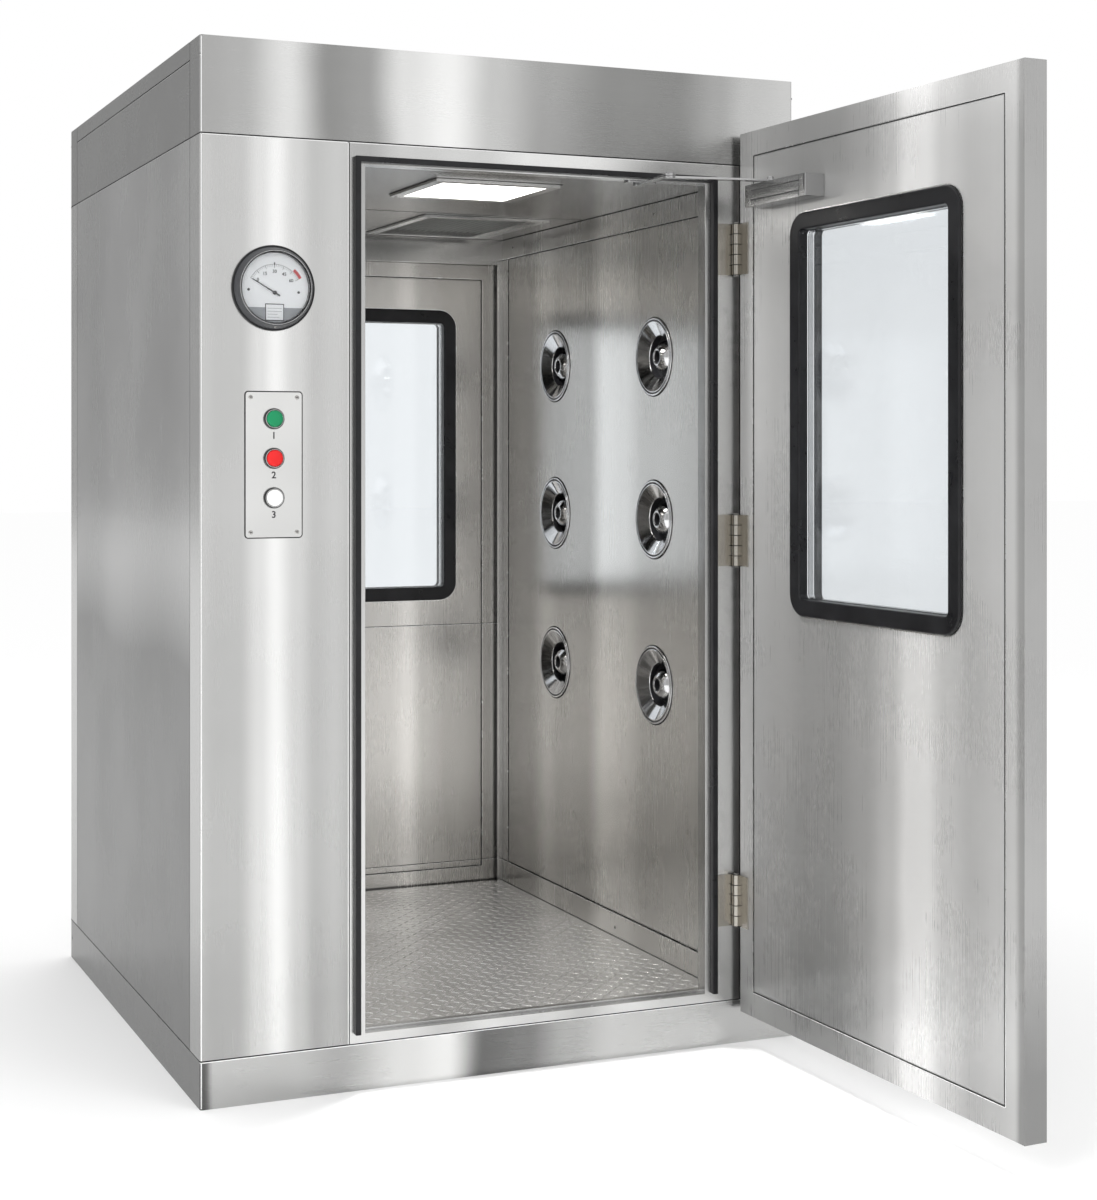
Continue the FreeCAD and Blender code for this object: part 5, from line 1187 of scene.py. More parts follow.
@dataclass
class Seams:
    """Dark strips in the joints between the sheets, which are painted shade of the gaps, with
    painted fold highlights beside them.
    """

    lift: float = 0.0003
    sink: float = 0.0012
    joint: float = 0.0022
    fold: float = 0.0017
    header_joint: float = 1.9535
    plinth_joint: float = 0.0965
    band_joint: float = 2.1115
    panel_edge: float = 0.586
    frame_edges: Flat = (-0.3693, 0.5470)
    trim_joints: Flat = (0.1764, 1.8516)
    strip_rows: Flat = (0.1776, 1.8504)
    front_strip: Flat = (-0.635, -0.562)
    rear_strip: Flat = (0.557, 0.592)

    def build(self) -> None:
        """Lay the painted joint shade and fold highlights of the shell and of the cabin."""
        for name, spans, slot in (("shell_seams", self.shell(), "black_rubber"),
                                  ("cabin_seams", self.cabin(), "steel_lining")):
            seams = Shaper(name)
            for finish, low, high in spans:
                seams.use(finish)
                seams.box(low, high)
            seams.done("casing", slot)

    def pair(self, axis: int, face: float, way: float, along: Flat, at: float,
             side: float) -> list[tuple[str, Point, Point]]:
        """A dark joint and the bright fold beside it, on a wall facing X or Y.

        Args:
            axis: 0 where the wall faces X, 1 where it faces Y.
            face: Where the wall's face lies.
            way: Which way it faces.
            along: From where to where the level joint runs.
            at: The joint's height.
            side: Which side of the joint the painted fold highlight lies on.

        Returns:
            Finish, low and high corner of both strips.
        """
        out = sorted((face + way * self.lift, face - way * self.sink))
        half = self.joint / 2
        rows = sorted((at + side * half, at + side * (half + self.fold)))
        spans = []
        for finish, (low, high) in (("painted_gap_shade", (at - half, at + half)),
                                    ("painted_fold_highlight", rows)):
            if axis == 0:
                spans.append((finish, (out[0], along[0], low), (out[1], along[1], high)))
            else:
                spans.append((finish, (along[0], out[0], low), (along[1], out[1], high)))
        return spans

    def shell(self) -> list[tuple[str, Point, Point]]:
        """Painted joint shade and fold highlights round the header, plinth, column, side panels
        and sill.

        Returns:
            Finish, low and high corner of each strip.
        """
        front, left, right = PLAN.front, PLAN.left, PLAN.right
        spans = []
        for height in (self.header_joint, self.plinth_joint):
            spans += self.pair(1, front, -1.0, (left + 0.001, right - 0.001), height,
                               -1.0)
        for face, way in ((left, -1.0), (right, 1.0)):
            inside = face - way * 0.0004
            for height in (self.header_joint, self.plinth_joint, self.band_joint):
                spans += self.pair(0, inside, way, (-0.669, 0.669), height, -1.0)
            across = sorted((face - way * 0.0001, face - way * 0.003))
            for depth in (-self.panel_edge, self.panel_edge):
                spans.append(("painted_gap_shade", (across[0], depth - 0.0013, 0.098),
                              (across[1], depth + 0.0013, 2.149)))
        for edge, way in zip(self.frame_edges, (-1.0, 1.0)):
            spans.append(("painted_gap_shade", (edge - 0.0011, front - self.lift, 0.098),
                          (edge + 0.0011, front + self.sink, 1.952)))
            fold = sorted((edge + way * 0.0011, edge + way * 0.0028))
            spans.append(("painted_fold_highlight", (fold[0], front - self.lift, 0.098),
                          (fold[1], front + self.sink, 1.952)))
        # Bright strips down the front left corner: painted highlight of the corner fold.
        for low, high in ((0.003, 0.0945), (0.0985, 1.9515), (1.9555, 2.147)):
            spans.append(("painted_fold_highlight", (left + 0.0012, front - self.lift, low),
                          (left + 0.0034, front + self.sink, high)))
        # Two dark and two bright lines along the sill: painted shade and painted highlights.
        for depth, finish in ((-0.664, "painted_fold_highlight"), (-0.6625, "painted_gap_shade"),
                              (-0.650, "painted_gap_shade"), (-0.6485, "painted_fold_highlight")):
            spans.append((finish, (-0.334, depth - 0.0008, PLAN.floor - 0.0005),
                          (0.459, depth + 0.0008, PLAN.floor + self.lift)))
        return spans

    def cabin(self) -> list[tuple[str, Point, Point]]:
        """Painted joint shade and fold highlights along the trims, corner strips and ceiling of
        the cabin.

        Returns:
            Finish, low and high corner of each strip.
        """
        spans = []
        ends = (self.front_strip[0], self.rear_strip[1])
        foot, head = self.strip_rows
        for face, way in ((PLAN.cabin_right, -1.0), (PLAN.cabin_left, 1.0)):
            trim = face + way * 0.002
            for height, side in zip(self.trim_joints, (-1.0, 1.0)):
                spans += self.pair(0, trim, way, ends, height, side)
            for low, high in ((0.117, 0.1185), (1.9062, 1.908)):
                across = sorted((trim - way * 0.001, trim + way * 0.0006))
                spans.append(("painted_gap_shade", (across[0], ends[0], low),
                              (across[1], ends[1], high)))
            for near, far in (self.front_strip, self.rear_strip):
                across = sorted((face - way * 0.001, face + way * 0.0013))
                spans.append(("steel_wall", (across[0], near, foot),
                              (across[1], far, head)))
                edge, out = (far, 1.0) if near < 0 else (near, -1.0)
                dark = sorted((edge, edge + out * 0.0022))
                pale = sorted((edge, edge - out * 0.0020))
                for finish, (low, high), rise in (("painted_gap_shade", dark, 0.0006),
                                                  ("painted_fold_highlight", pale, 0.0016)):
                    across = sorted((face - way * 0.001, face + way * rise))
                    spans.append((finish, (across[0], low, foot),
                                  (across[1], high, head)))
        left, right = PLAN.cabin_left + 0.002, PLAN.cabin_right - 0.002
        for depth, width in ((0.0605, 0.0010), (0.5915, 0.0012)):
            spans.append(("painted_gap_shade", (left, depth - width, PLAN.ceiling - 0.0004),
                          (right, depth + width, PLAN.ceiling + 0.001)))
        return spans


@dataclass
class AirNozzles:
    """Pressed rings with polished cones, and the balls in their throats."""

    depths: Flat = (-0.325, 0.243)
    heights: Point = (0.761, 1.155, 1.542)
    ball_depth: float = 0.044
    ball_radius: float = 0.042
    bore: float = 0.015

    def build(self) -> None:
        """Make all twelve nozzles."""
        rings = Shaper("nozzle_dishes")
        for side, wall, way in (("left", PLAN.cabin_left, 1.0),
                                ("right", PLAN.cabin_right, -1.0)):
            number = 0
            for depth in self.depths:
                for height in self.heights:
                    number += 1
                    place = facing((wall, depth, height), (way, 0, 0))
                    self.add_ring(rings, place)
                    self.make_ball(f"{side}_{number}", place)
        rings.done("casing", "nozzle_chrome", ["nozzle_rings"], smooth=40.0)

    def add_ring(self, rings: Shaper, place: Matrix) -> None:
        """Rolled double rim, polished dish, and dark rings round the foot of the rim, in the
        groove and in the throat, which are painted shade.

        Args:
            rings: Takes the ring.
            place: Takes it to its place on the wall.
        """
        # The dark ring round the foot of the outer rim and the dark ring in the groove between
        # the rims are painted shade.
        rings.rings_mm(place, 64, (
            ("nozzle_chrome", ((93, 0), (93, 2.2), (92.3, 3.1), (91.3, 3.4), (89.7, 3.4),
                               (88.8, 3.0), (88.5, 2.2), (88.5, 0))),
            ("nozzle_chrome", ((85.4, 0), (85.4, 2.3), (84.8, 3.1), (84, 3.4),
                               (82.7, 3.4), (81.8, 2.9), (52.6, -13.2), (51.4, -13.9),
                               (51, -15.0), (53.8, -16.5), (79.6, -3.2), (79.6, 0))),
            ("painted_gap_shade", ((95.2, 0), (95.2, 0.5), (93, 0.5), (93, 0))),
            ("gauge_black", ((88.5, 0.1), (88.5, 0.6), (85.4, 0.6), (85.4, 0.1))),
        ))
        # Dark throat behind the dish: painted shade of the hollow.
        rings.rings_mm(place, 48, (
            ("gauge_black", ((51, -15), (51, -32), (42.4, -32), (42.4, -56), (45.4, -56),
                             (53.8, -36), (53.8, -15))),
        ))

    def make_ball(self, name: str, place: Matrix) -> None:
        """Chrome ball with a rolled mouth, its bore lined dark as painted shade.

        Args:
            name: Side and number of the nozzle.
            place: The ring's place on the wall.
        """
        ball = Shaper("nozzle_jet_" + name).use("nozzle_chrome")
        centre = place @ Matrix.Translation((0, 0, -self.ball_depth))
        arc = [math.radians(-48 + 9 * step) for step in range(13)]
        profile = [(self.ball_radius * math.cos(lat), self.ball_radius * math.sin(lat))
                   for lat in arc]
        profile += [(0.0198, 0.0371), (0.0178, 0.0373), (0.0158, 0.0366), (0.0152, 0.0352),
                    (0.0152, -0.0312)]
        ball.lathe(profile, centre, 48, closed=True)
        # Dark lining of the bore: painted shade in the hole.
        ball.use("gauge_black")
        ball.lathe(((self.bore + 0.0001, 0.0340), (self.bore - 0.0006, 0.0340),
                    (self.bore - 0.0006, -0.0310), (self.bore + 0.0001, -0.0310)),
                   centre, 32, closed=True)
        ball.done("nozzle_" + name, "nozzle_chrome", ["nozzle_ball_" + name], smooth=50.0)


@dataclass
class CeilingFittings:
    """Lamp and return grille."""

    screw_inset: float = 0.012

    def build(self) -> None:
        """Dress the fittings."""
        reworked("lamp_frame", "steel_fitting", "steel_fitting", soft=0.003)
        low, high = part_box("lamp_diffuser")
        middle = (low + high) / 2
        FINISHES.add(Glowing("lamp_glow", tuple(middle), (high.x - low.x) * 0.7))
        dress("lamp_diffuser", "lamp_glow")
        reworked("return_grille", "steel_fitting", "steel_fitting", soft=0.0005)
        dress("prefilter", "filter_fleece")
        screws = Shaper("ceiling_screws")
        for node in ("lamp_frame", "return_grille"):
            low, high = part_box(node)
            # Dark ring round each fitting where it meets the ceiling: painted shade of the gap.
            screws.use("painted_gap_shade")
            centre = ((low.x + high.x) / 2, (low.y + high.y) / 2, PLAN.ceiling)
            screws.sweep_frame(((0, -0.0002), (0.003, -0.0002), (0.003, 0.0006),
                                (0, 0.0006)), high.x - low.x + 0.005,
                               high.y - low.y + 0.005, 0.004,
                               facing(centre, (0, 0, -1), (0, 1, 0)), 4)
            for x in (low.x + self.screw_inset, high.x - self.screw_inset):
                for y in (low.y + self.screw_inset, high.y - self.screw_inset):
                    screws.screw(facing((x, y, low.z), (0, 0, -1), (0, 1, 0)), 0.0035)
        screws.done("casing", "steel_fitting")


@dataclass
class Services:
    """Fan unit, filter and control gear, all behind the panels."""

    def build(self) -> None:
        """Dress the services."""
        for node, finish in (("fan_box", "galvanised"), ("fan_motor", "motor_paint"),
                             ("fan_impeller", "galvanised"), ("main_filter", "galvanised"),
                             ("control_gear", "control_paint")):
            dress(node, finish)


@dataclass
class Gauge:
    """Round pressure gauge with a white dial, a plain scale and a red zone."""

    centre: Point = (-0.5315, -0.670, 1.647)
    pivot: float = -0.010
    arc: float = 0.0576
    reach: float = 60.0
    steps: int = 30
    face: float = 0.0098
    print_depth: float = 0.00015
    figures: tuple[tuple[str, float], ...] = (("0", -54), ("15", -28), ("30", 0),
                                              ("45", 28), ("60", 54))
    figure_arc: float = 0.043
    red_zone: tuple[float, float, int] = (42.0, 2.2, 9)

    def build(self) -> None:
        """Make the gauge."""
        self.place = facing(self.centre, (0, -1, 0))
        self.make_case()
        self.make_dial()
        reworked("gauge_pointer", "print_and_shade_black", "pointer_black", "pointer", 0.0)
        reworked("gauge_lens", "gauge_lens", "lens_clear", "casing", 0.0)

    def make_case(self) -> None:
        """Body, black outer ring, sloped grey band, bright line and black inner ring."""
        case = Shaper("gauge_housing")
        rings = (
            ("gauge_black", ((87, 0.1), (87, 4), (86.2, 5.4), (84.4, 5.8), (83.4, 5.2),
                             (83.4, 0.1))),
            ("gauge_grey", ((83.4, 0.5), (83.4, 6.0), (82.4, 8.5), (76.9, 21.6),
                            (76.0, 22.6), (75.2, 22.6), (75.2, 0.5))),
            ("closer_chrome", ((75.2, 0.5), (75.2, 23.2), (74.8, 23.8), (74.2, 23.8),
                               (73.8, 23.2), (73.8, 0.5))),
            ("gauge_black", ((73.8, 0.5), (73.8, 22.4), (73.0, 22.6), (71.4, 19.8),
                             (71.1, 19.0), (71.1, 0.5))),
        )
        case.rings_mm(self.place, 96, rings)
        body = ((0, -40), (68, -40), (70, -38), (70, 0.4), (71.1, 0.5), (71.1, 8.8),
                (0, 8.8))
        case.use("gauge_black").lathe(metres(body), self.place, 64)
        case.screw(self.place @ Matrix.Translation((0, -0.0797, 0.0148))
                   @ Matrix.Rotation(math.radians(63), 4, "X"), 0.0026, 0.001)
        case.done("casing", "gauge_black", ["gauge_case"], smooth=30.0)

    def mark(self, dial: Shaper, angle: float, outer: float, length: float,
             width: float, lift: float = 1.0) -> None:
        """Print one radial mark, its angle clockwise from the top.

        Args:
            dial: The dial's mesh.
            angle: Degrees.
            outer: Radius of the outer end.
            length: Mark length.
            width: Mark width.
            lift: Times the print's depth.
        """
        turn = (self.place @ Matrix.Translation((0, self.pivot, self.face))
                @ Matrix.Rotation(math.radians(-angle), 4, "Z"))
        dial.box((-width / 2, outer - length, 0.0),
                 (width / 2, outer, self.print_depth * lift), matrix=turn)

    def make_dial(self) -> None:
        """White face with ticks, five figures, a red zone and a small plain label."""
        dial = Shaper("gauge_face").use("dial_white")
        dial.lathe(((0.0709, 0.0088), (0.0709, self.face), (0.0, self.face)),
                   self.place, 64)
        dial.use("print_and_shade_black")
        for step in range(self.steps + 1):
            angle = self.reach * (2 * step / self.steps - 1)
            bold = step % 5 == 0
            self.mark(dial, angle, self.arc, 0.0075 if bold else 0.0045,
                      0.0009 if bold else 0.0005)
        for step in range(2 * self.steps):
            angle = self.reach * ((2 * step + 1) / (2 * self.steps) - 1)
            self.mark(dial, angle, self.arc + 0.0003, 0.0005, 0.0022)
        self.mark(dial, 0.0, self.arc + 0.004, 0.006, 0.0026)
        for text, angle in self.figures:
            way = math.radians(angle)
            across, up = self.figure_arc * math.sin(way), self.figure_arc * math.cos(way)
            dial.figure(text, 0.0065, self.place @ Matrix.Translation(
                (across, self.pivot + up, self.face + self.print_depth / 2)),
                self.print_depth)
        for x, y in ((-0.0544, -0.0048), (0.0505, -0.0081)):
            dial.lathe(((0.0027, 0.0), (0.0027, self.print_depth * 4),
                        (0.0, self.print_depth * 4)),
                       self.place @ Matrix.Translation((x, y, self.face)), 20)
        dial.use("print_red")
        start, pace, count = self.red_zone
        for step in range(count):
            self.mark(dial, start + pace * step, self.arc + 0.0075, 0.0062, 0.0026)
        dial.use("print_grey")
        dial.segment(0.0707, -0.040, self.face, self.face + self.print_depth,
                     self.place)
        for low, high, finish, lift in (
            ((-0.0198, -0.0668), (0.0198, -0.0322), "print_and_shade_black", 2.0),
            ((-0.0180, -0.0650), (0.0180, -0.0340), "dial_white", 3.0),
            ((-0.0150, -0.0420), (0.0150, -0.0412), "print_grey", 4.0),
            ((-0.0150, -0.0480), (0.0150, -0.0472), "print_grey", 4.0),
            ((-0.0150, -0.0540), (0.0060, -0.0532), "print_grey", 4.0),
            ((-0.0150, -0.0600), (0.0100, -0.0592), "print_grey", 4.0),
            ((-0.0500, -0.0500), (-0.0455, -0.0486), "print_and_shade_black", 2.0),
        ):
            dial.use(finish)
            dial.box((*low, self.face), (*high, self.face + self.print_depth * lift),
                     matrix=self.place)
        dial.done("casing", "dial_white", ["gauge_dial"])


@dataclass
class ButtonPanel:
    """Plate with a thin dark rim round it, which is a painted shadow line, with three domed push
    buttons and plain numerals.
    """

    middle: Flat = (-0.5305, 1.2895)
    size: Flat = (0.118, 0.294)
    corner: float = 0.006
    face: float = -0.672
    heights: Point = (1.3825, 1.3025, 1.2225)
    screw_grid: Flat = (0.0485, 0.1365)
    numeral_drop: float = 0.0345

    def build(self) -> None:
        """Make the button panel."""
        x, z = self.middle
        beside, above = self.screw_grid
        # Black plate a little larger than the button plate, showing as a dark rim: painted
        # shadow line.
        trim = Shaper("button_plate_trim").use("black_rubber")
        trim.plate(self.size[0] + 0.0044, self.size[1] + 0.0044, self.corner + 0.002,
                   0.0008, facing((x, PLAN.front, z), (0, -1, 0)))
        for side in (-1, 1):
            for end in (-1, 1):
                trim.screw(facing((x + side * beside, self.face, z + end * above),
                                  (0, -1, 0)), 0.0045, 0.0014)
        trim.use("print_and_shade_black")
        for number, height in enumerate(self.heights, start=1):
            foot = (x, self.face - 0.0001, height - self.numeral_drop)
            trim.figure(str(number), 0.0135, facing(foot, (0, -1, 0)), 0.0003)
        trim.done("casing", "steel_fitting")
        reworked("button_plate", "steel_fitting", "steel_fitting", soft=0.0006)
        self.make_bezels()
        kinds = (("start", "green"), ("stop", "red"), ("door", "white"))
        for (kind, colour), height in zip(kinds, self.heights):
            self.make_cap(kind + "_cap", kind + "_button", "button_" + colour, height)

    def make_bezels(self) -> None:
        """Dark ring round a bright inner ring, once for each button."""
        rings = Shaper("button_rings")
        for height in self.heights:
            place = facing((self.middle[0], self.face, height), (0, -1, 0))
            rings.rings_mm(place, 40, (
                ("gauge_black", ((21.5, 0), (21.5, 3.6), (20.8, 5.6), (19.8, 6.4),
                                 (19.2, 6.4), (19.2, 0))),
                ("closer_chrome", ((19.2, 0), (19.2, 7.2), (18.7, 7.9), (17.9, 8.0),
                                   (17.2, 7.5), (17.0, 6.8), (17.0, 0))),
            ))
        rings.done("casing", "bezel_black", ["button_bezels"])

    def make_cap(self, body: str, node: str, finish: str, height: float) -> None:
        """Domed cap on its stem.

        Args:
            body: The body it moves with.
            node: The CAD node it stands for.
            finish: The finish's name.
            height: Height of its middle.
        """
        cap = Shaper(node + "_cap").use(finish)
        dome = ((0, -16), (9, -16), (9, 5.2), (16.6, 5.2), (16.6, 9.2), (16.2, 10.6),
                (15.0, 11.9), (12.6, 12.9), (9.0, 13.6), (4.5, 13.95), (0, 14))
        cap.lathe(metres(dome), facing((self.middle[0], self.face, height), (0, -1, 0)), 40)
        cap.done(body, finish, [node], smooth=40.0)


RUBBER_LAP = 0.036  # By how much a window's rubber is larger than its hole.


@dataclass
class Door:
    """One door with its window, hinges and pull, set out from its hinge axis."""

    end: str
    finish: str
    turn: float
    face: float
    edges: Flat
    rows: Flat
    window: tuple[float, float, float, float]
    seams: tuple[float, ...] = ()
    pane_gap: float = 0.006
    border: float = 0.055
    rise: float = 0.00015

    def build(self) -> None:
        """Dress the door."""
        axis = joint_place(self.end + "_door_hinge")
        self.frame = (Matrix.Translation((axis.x, axis.y, 0))
                      @ Matrix.Rotation(math.radians(self.turn), 4, "Z"))
        body = self.end + "_door"
        reworked(body + "_leaf", self.finish, "steel_door", body, 0.0016)
        reworked(self.end + "_window_rubber", "black_rubber", "black_rubber", body, 0.0042,
                 3)
        dress(self.end + "_window_glass", "window_glass")
        reworked(self.end + "_hinge_leaves", "hinge_nickel", "hinge_steel", body, 0.0004)
        dress(self.end + "_pull_handle", "steel_fitting")
        self.make_spacer(body)
        self.make_lines(body)

    def make_spacer(self, body: str) -> None:
        """Bright spacer bar between the two panes.

        Args:
            body: The door's body.
        """
        middle, height, width, tall = self.window
        spacer = Shaper(self.end + "_window_spacer").use("closer_silver")
        depth = self.pane_gap - 0.0006
        profile = ((0, -depth), (0.012, -depth), (0.012, depth), (0, depth))
        spacer.sweep_frame(profile, width - 0.016, tall - 0.016, 0.020,
                           self.frame @ facing((middle, self.face - 0.025, height),
                                               (0, 1, 0)), 6)
        spacer.done(body, "steel_fitting")

    def ring(self, lines: Shaper, middle: Flat, size: Flat, radius: float,
             spans: Sequence[tuple[str, float, float]]) -> None:
        """Lay thin lines round a rectangle on the leaf's face.

        Args:
            lines: Takes the lines.
            middle: The rectangle's middle, along the leaf and up.
            size: Its width and height.
            radius: Its corner radius.
            spans: Finish, inner and outer distance outside the rectangle.
        """
        place = self.frame @ facing((middle[0], self.face, middle[1]), (0, 1, 0))
        for finish, near, far in spans:
            profile = ((0, -0.0003), (far - near, -0.0003), (far - near, self.rise),
                       (0, self.rise))
            lines.use(finish)
            lines.sweep_frame(profile, size[0] + 2 * far, size[1] + 2 * far,
                              radius + far, place, 6)

    def make_lines(self, body: str) -> None:
        """Reveal line inside the border, line round the rubber, and cross seams, each a dark
        strip of painted shade with a painted highlight beside it.

        Args:
            body: The door's body.
        """
        lines = Shaper(self.end + "_leaf_lines")
        middle = (sum(self.edges) / 2, sum(self.rows) / 2)
        size = (self.edges[1] - self.edges[0] - 2 * self.border,
                self.rows[1] - self.rows[0] - 2 * self.border)
        self.ring(lines, middle, size, 0.001, (("painted_gap_shade", -0.0012, 0.0010),
                                               ("painted_fold_highlight", 0.0010, 0.0028)))
        at, height, width, tall = self.window
        self.ring(lines, (at, height), (width + RUBBER_LAP, tall + RUBBER_LAP), 0.048,
                  (("painted_gap_shade", -0.001, 0.0006), ("painted_fold_highlight", 0.0006, 0.0030)))
        place = self.frame @ Matrix.Translation((0, self.face, 0))
        for height in self.seams:
            for finish, low, high in (("painted_gap_shade", -0.0009, 0.0009),
                                      ("painted_fold_highlight", -0.0026, -0.0009)):
                lines.use(finish)
                lines.box((self.edges[0] + 0.003, -0.0003, height + low),
                          (self.edges[1] - 0.003, self.rise, height + high),
                          matrix=place)
        lines.done(body, "steel_door")


@dataclass
class Hinges:
    """Frame halves of the hinges, with pin heads and dark rings of painted shade at the knuckle
    splits.
    """

    front_axis: Flat = (0.5325, -0.680)
    heights: Point = (0.320, 1.119, 1.765)
    half: float = 0.057
    knuckle: float = 0.009

    def build(self) -> None:
        """Dress the hinges."""
        reworked("hinge_frame_leaves", "hinge_nickel", "hinge_steel", soft=0.0004)
        pins = Shaper("hinge_pin_heads").use("screw_steel")
        for height in self.heights:
            for way in (1, -1):
                place = facing((*self.front_axis, height + way * self.half), (0, 0, way),
                               (0, 1, 0))
                pins.lathe(((0.0062, 0.0), (0.0062, 0.0012), (0.0050, 0.0026),
                            (0.0026, 0.0032), (0.0, 0.0034)), place, 20)
        # Dark rings at the knuckle splits: painted shade in the gaps between knuckles.
        pins.use("painted_gap_shade")
        for height in self.heights:
            for share in (-1.0, -0.6, -0.2, 0.2, 0.6, 1.0):
                middle = height + share * self.half
                low, high = self.knuckle + 0.0001, self.knuckle - 0.0006
                pins.lathe(((low, -0.0009), (low, 0.0009), (high, 0.0009),
                            (high, -0.0009)),
                           Matrix.Translation((*self.front_axis, middle)), 24,
                           closed=True)
        pins.done("casing", "hinge_steel")


@dataclass
class Closer:
    """Door closer: grooved silver body with end caps, chrome arms and shoe."""

    turn: float = 92.0
    span: Flat = (-0.339, -0.105)
    depth: Flat = (-0.005, 0.043)
    level: Flat = (1.844, 1.892)
    cap: float = 0.024
    groove: float = 0.0011
    spindle: Flat = (-0.175, 0.022)
    grooves: Flat = (0.014, 0.0345)
    edge: float = 0.0012

    def build(self) -> None:
        """Make the closer."""
        axis = joint_place("front_door_hinge")
        self.frame = (Matrix.Translation((axis.x, axis.y, 0))
                      @ Matrix.Rotation(math.radians(self.turn), 4, "Z"))
        self.make_body()
        reworked("closer_arm", "closer_chrome", "closer_chrome", "closer_arm_link", 0.001)
        reworked("closer_forearm", "closer_chrome", "closer_chrome", "closer_forearm_link",
                 0.001)
        reworked("closer_shoe", "closer_chrome", "closer_chrome", "casing", 0.0008)

    def make_body(self) -> None:
        """Extruded bars round a dark core that shows in the grooves as painted shade, two end
        caps, a dark strip that is a slot's painted shade, and screws.
        """
        near, far = self.span[1], self.span[0]
        back, front = self.depth
        low, high = self.level
        # Dark core box, seen in the grooves between the bars: painted shade.
        body = Shaper("closer_housing").use("print_and_shade_black")
        body.box((far + self.edge, back, low + self.edge),
                 (near - self.edge, front - self.edge, high - self.edge),
                 matrix=self.frame)
        body.use("closer_silver")
        inner = (far + self.cap + self.groove, near - self.cap - self.groove)
        levels = (low, low + self.grooves[0], low + self.grooves[1], high)
        for bottom, top in zip(levels, levels[1:]):
            gap = self.groove / 2
            body.box((inner[0], back, bottom + (gap if bottom > low else 0)),
                     (inner[1], front, top - (gap if top < high else 0)), 0.0009,
                     self.frame)
        for start in (far, near - self.cap):
            body.box((start, back, low), (start + self.cap, front, high), 0.0016,
                     self.frame)
        for x, z in ((far + 0.016, high - 0.010), (far + 0.016, high - 0.026),
                     (near - 0.012, high - 0.010), (near - 0.012, low + 0.010)):
            body.screw(self.frame @ facing((x, front, z), (0, 1, 0)), 0.0030, 0.0012)
        # Dark strip for the slot: painted shade.
        body.use("print_and_shade_black")
        body.box((far + 0.0040, front - 0.001, low + 0.014),
                 (far + 0.0062, front + 0.0002, high - 0.004), matrix=self.frame)
        body.use("closer_chrome")
        spindle = self.frame @ Matrix.Translation((*self.spindle, high))
        body.lathe(((0.0072, 0.0), (0.0072, 0.0110), (0.0064, 0.0120), (0.0, 0.0120)),
                   spindle, 24)
        body.lathe(((0.011, -0.0005), (0.011, 0.0006), (0.0072, 0.0006),
                    (0.0072, -0.0005)), spindle, 24, closed=True)
        body.done("front_door", "closer_aluminium", ["closer_body"])


@dataclass(frozen=True)
class View:
    """Camera fitted to the photograph's own view."""

    place: Point = (-1.6973, -4.6132, 1.3144)
    turn: float = 22.444
    focal: float = 2019.67
    centre: Flat = (484.45, 452.42)
    sensor: float = 36.0

    def build(self) -> None:
        """Make the camera."""
        data = bpy.data.cameras.new("view")
        data.sensor_fit = "VERTICAL"
        data.sensor_height = self.sensor
        data.lens = self.focal / PHOTO_HEIGHT * self.sensor
        data.shift_x = (PHOTO_WIDTH / 2 - self.centre[0]) / PHOTO_HEIGHT
        data.shift_y = -(PHOTO_HEIGHT / 2 - self.centre[1]) / PHOTO_HEIGHT
        data.clip_end = 200.0
        camera = bpy.data.objects.new("view", data)
        camera.location = self.place
        camera.rotation_euler = (math.pi / 2, 0.0, -math.radians(self.turn))
        bpy.context.scene.collection.objects.link(camera)
        bpy.context.scene.camera = camera


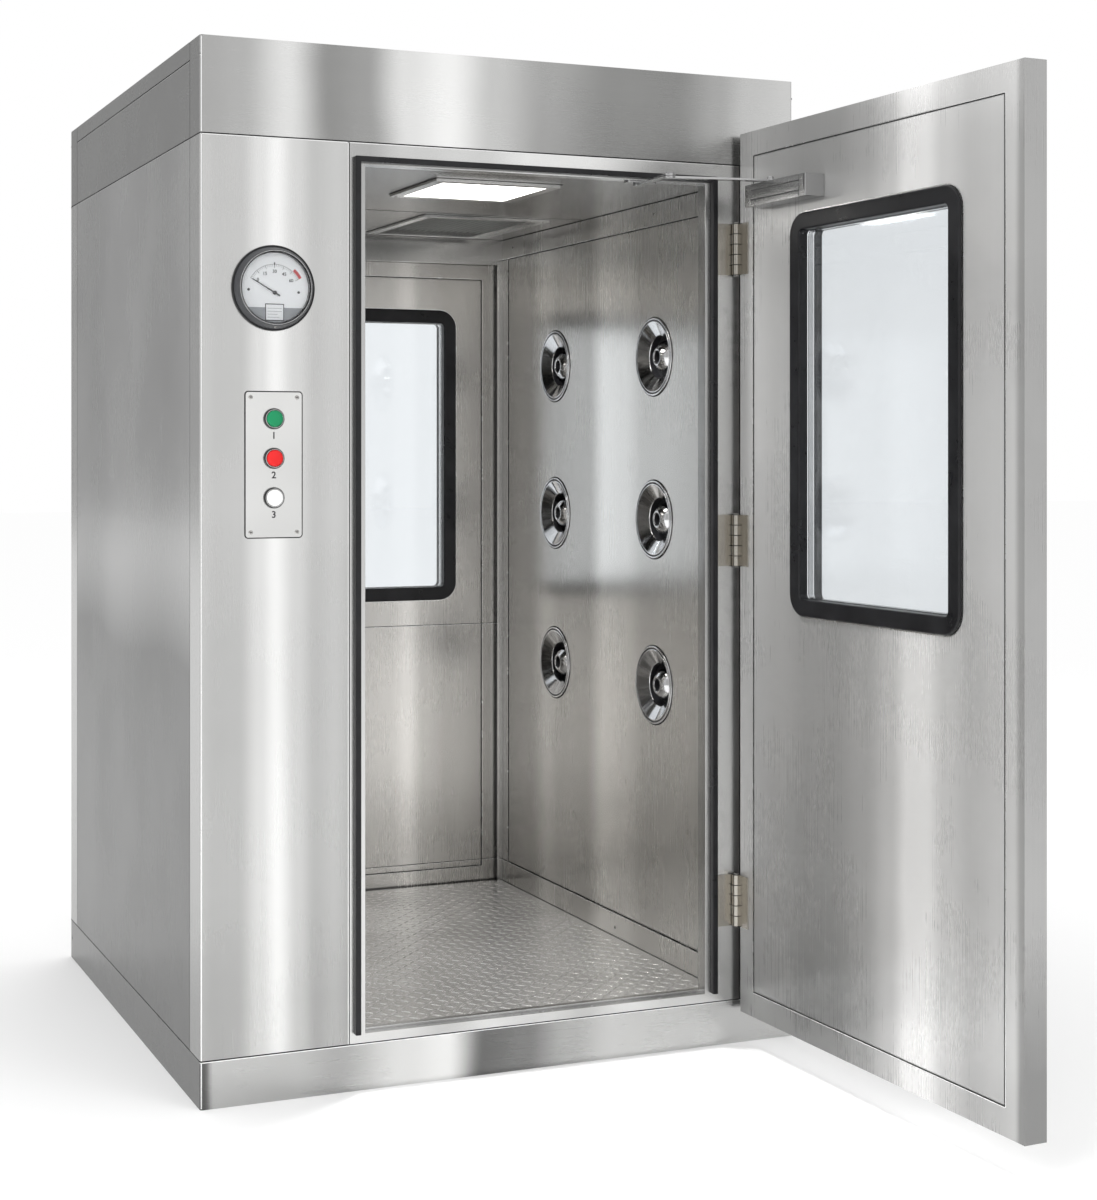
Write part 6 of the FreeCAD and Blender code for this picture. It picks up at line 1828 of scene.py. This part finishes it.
@dataclass
class Studio:
    """Pale floor, white surroundings, soft lamps and grey flags for the metal."""

    floor_reach: float = 40.0
    tent_radius: float = 30.0
    tent_height: float = 26.0

    def build(self) -> None:
        """Make the studio."""
        self.make_world()
        self.make_floor()
        self.make_tent()
        self.make_lamp("key", (2.4, -5.2, 4.4), (0.0, 0.0, 1.0), 2.6, 32.0)
        self.make_lamp("side", (-4.0, -3.6, 2.8), (0.4, -1.2, 1.0), 2.4, 115.0)
        self.make_lamp("fill", (4.6, -1.8, 3.4), (0.2, -0.4, 1.0), 3.0, 14.0)
        self.make_lamp("back", (2.0, 5.0, 4.2), (0.0, 0.0, 1.0), 3.0, 22.0)
        self.make_lamp("cabin", (0.022, -0.39, 1.896), (0.022, -0.39, 0.0), 0.24, 16.0)
        settings = bpy.context.scene.view_settings
        settings.view_transform = "Standard"

    def make_world(self) -> None:
        """White for what is seen, softer for what is lit."""
        world = bpy.data.worlds.new("studio")
        bpy.context.scene.world = world
        world.use_nodes = True
        graph = Graph(world.node_tree)
        path = graph.add("LightPath")
        seen = graph.math("MAXIMUM", path.outputs["Is Camera Ray"],
                          graph.math("MAXIMUM", path.outputs["Is Glossy Ray"],
                                     path.outputs["Is Transmission Ray"]))
        light = graph.add("Background")
        light.inputs["Color"].default_value = (1.0, 1.0, 1.0, 1.0)
        light.inputs["Strength"].default_value = 1.02
        white = graph.add("Background")
        white.inputs["Strength"].default_value = 1.0
        white.inputs["Color"].default_value = (1.0, 1.0, 1.0, 1.0)
        mix = graph.add("MixShader")
        graph.join(seen, mix.inputs["Fac"])
        graph.join(light.outputs["Background"], mix.inputs[1])
        graph.join(white.outputs["Background"], mix.inputs[2])
        output = graph.add("OutputWorld")
        graph.join(mix.outputs["Shader"], output.inputs["Surface"])

    def make_floor(self) -> None:
        """Plain pale floor."""
        material, _, shader = new_material("studio_floor")
        shader.inputs["Base Color"].default_value = (0.965, 0.965, 0.965, 1.0)
        shader.inputs["Roughness"].default_value = 0.6
        shader.inputs["Specular IOR Level"].default_value = 0.0
        bm = bmesh.new()
        bmesh.ops.create_grid(bm, x_segments=1, y_segments=1, size=self.floor_reach)
        self.stand("studio_floor", bm, material)

    def stand(self, name: str, bm: bmesh.types.BMesh, material: bpy.types.Material
              ) -> bpy.types.Object:
        """Stand a piece of the studio in the scene.

        Args:
            name: Its name.
            bm: Its mesh.
            material: Its finish.

        Returns:
            The new object.
        """
        mesh = bpy.data.meshes.new(name)
        bm.to_mesh(mesh)
        bm.free()
        mesh.materials.append(material)
        item = bpy.data.objects.new(name, mesh)
        bpy.context.scene.collection.objects.link(item)
        return item

    def make_tent(self) -> None:
        """Tall drum that only reflections see, with soft grey flags round it."""
        material = bpy.data.materials.new("studio_tent")
        material.use_nodes = True
        graph = Graph(material.node_tree)
        axes = graph.axes()
        angle = graph.math("ARCTAN2", axes["X"], graph.math("MULTIPLY", axes["Y"], -1.0))
        share = graph.spread(angle, 0.0, 1.0, -math.pi, math.pi)
        stops = ((0.0, 0.45), (0.03, 0.36), (0.07, 0.40), (0.11, 1.10), (0.18, 0.60),
                 (0.27, 1.0), (0.36, 0.5), (0.44, 0.85), (0.51, 1.02), (0.60, 1.0),
                 (0.66, 0.6), (0.74, 1.1), (0.84, 0.5), (0.93, 0.9))
        light = graph.add("Emission")
        graph.join(graph.ramp(share, stops), light.inputs["Color"])
        output = graph.add("OutputMaterial")
        graph.join(light.outputs["Emission"], output.inputs["Surface"])
        bm = bmesh.new()
        bmesh.ops.create_cone(bm, cap_ends=False, segments=96, radius1=self.tent_radius,
                              radius2=self.tent_radius, depth=self.tent_height)
        bmesh.ops.translate(bm, verts=bm.verts, vec=(0, 0, self.tent_height / 2 - 1.0))
        tent = self.stand("studio_tent", bm, material)
        for ray in ("camera", "diffuse", "transmission", "shadow", "volume_scatter"):
            setattr(tent, "visible_" + ray, False)

    def make_lamp(self, name: str, place: Point, aim: Point, size: float,
                  power: float) -> None:
        """Add a square soft lamp.

        Args:
            name: The lamp's name.
            place: Where it stands.
            aim: What it points at.
            size: Side in metres.
            power: Watts.
        """
        data = bpy.data.lights.new(name, "AREA")
        data.shape = "SQUARE"
        data.size = size
        data.energy = power
        lamp = bpy.data.objects.new(name, data)
        lamp.location = place
        lamp.visible_glossy = False
        way = Vector(aim) - Vector(place)
        lamp.rotation_euler = way.to_track_quat("-Z", "Y").to_euler()
        bpy.context.scene.collection.objects.link(lamp)


def main() -> None:
    """Build the studio and every sub-assembly."""
    logging.basicConfig(level=logging.INFO, format="%(message)s")
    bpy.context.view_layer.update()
    View().build()
    Studio().build()
    front = Door("front", "steel_door", 92.0, -0.005, (-0.969, -0.009), (0.075, 2.020),
                 (-0.505, 1.394, 0.575 - RUBBER_LAP, 0.850 - RUBBER_LAP))
    rear = Door("rear", "steel_exit_door", 180.0, 0.0595, (-0.880, -0.002),
                (0.103, 1.852), (-0.441, 1.307, 0.610 - RUBBER_LAP, 0.803 - RUBBER_LAP),
                (0.176, 0.836))
    for part in (Casing(), Cabin(), Seams(), AirNozzles(), CeilingFittings(), Services(),
                 Gauge(), ButtonPanel(), front, rear, Hinges(), Closer()):
        part.build()
        LOG.info("%s is built", type(part).__name__)


if __name__ == "__main__":
    main()
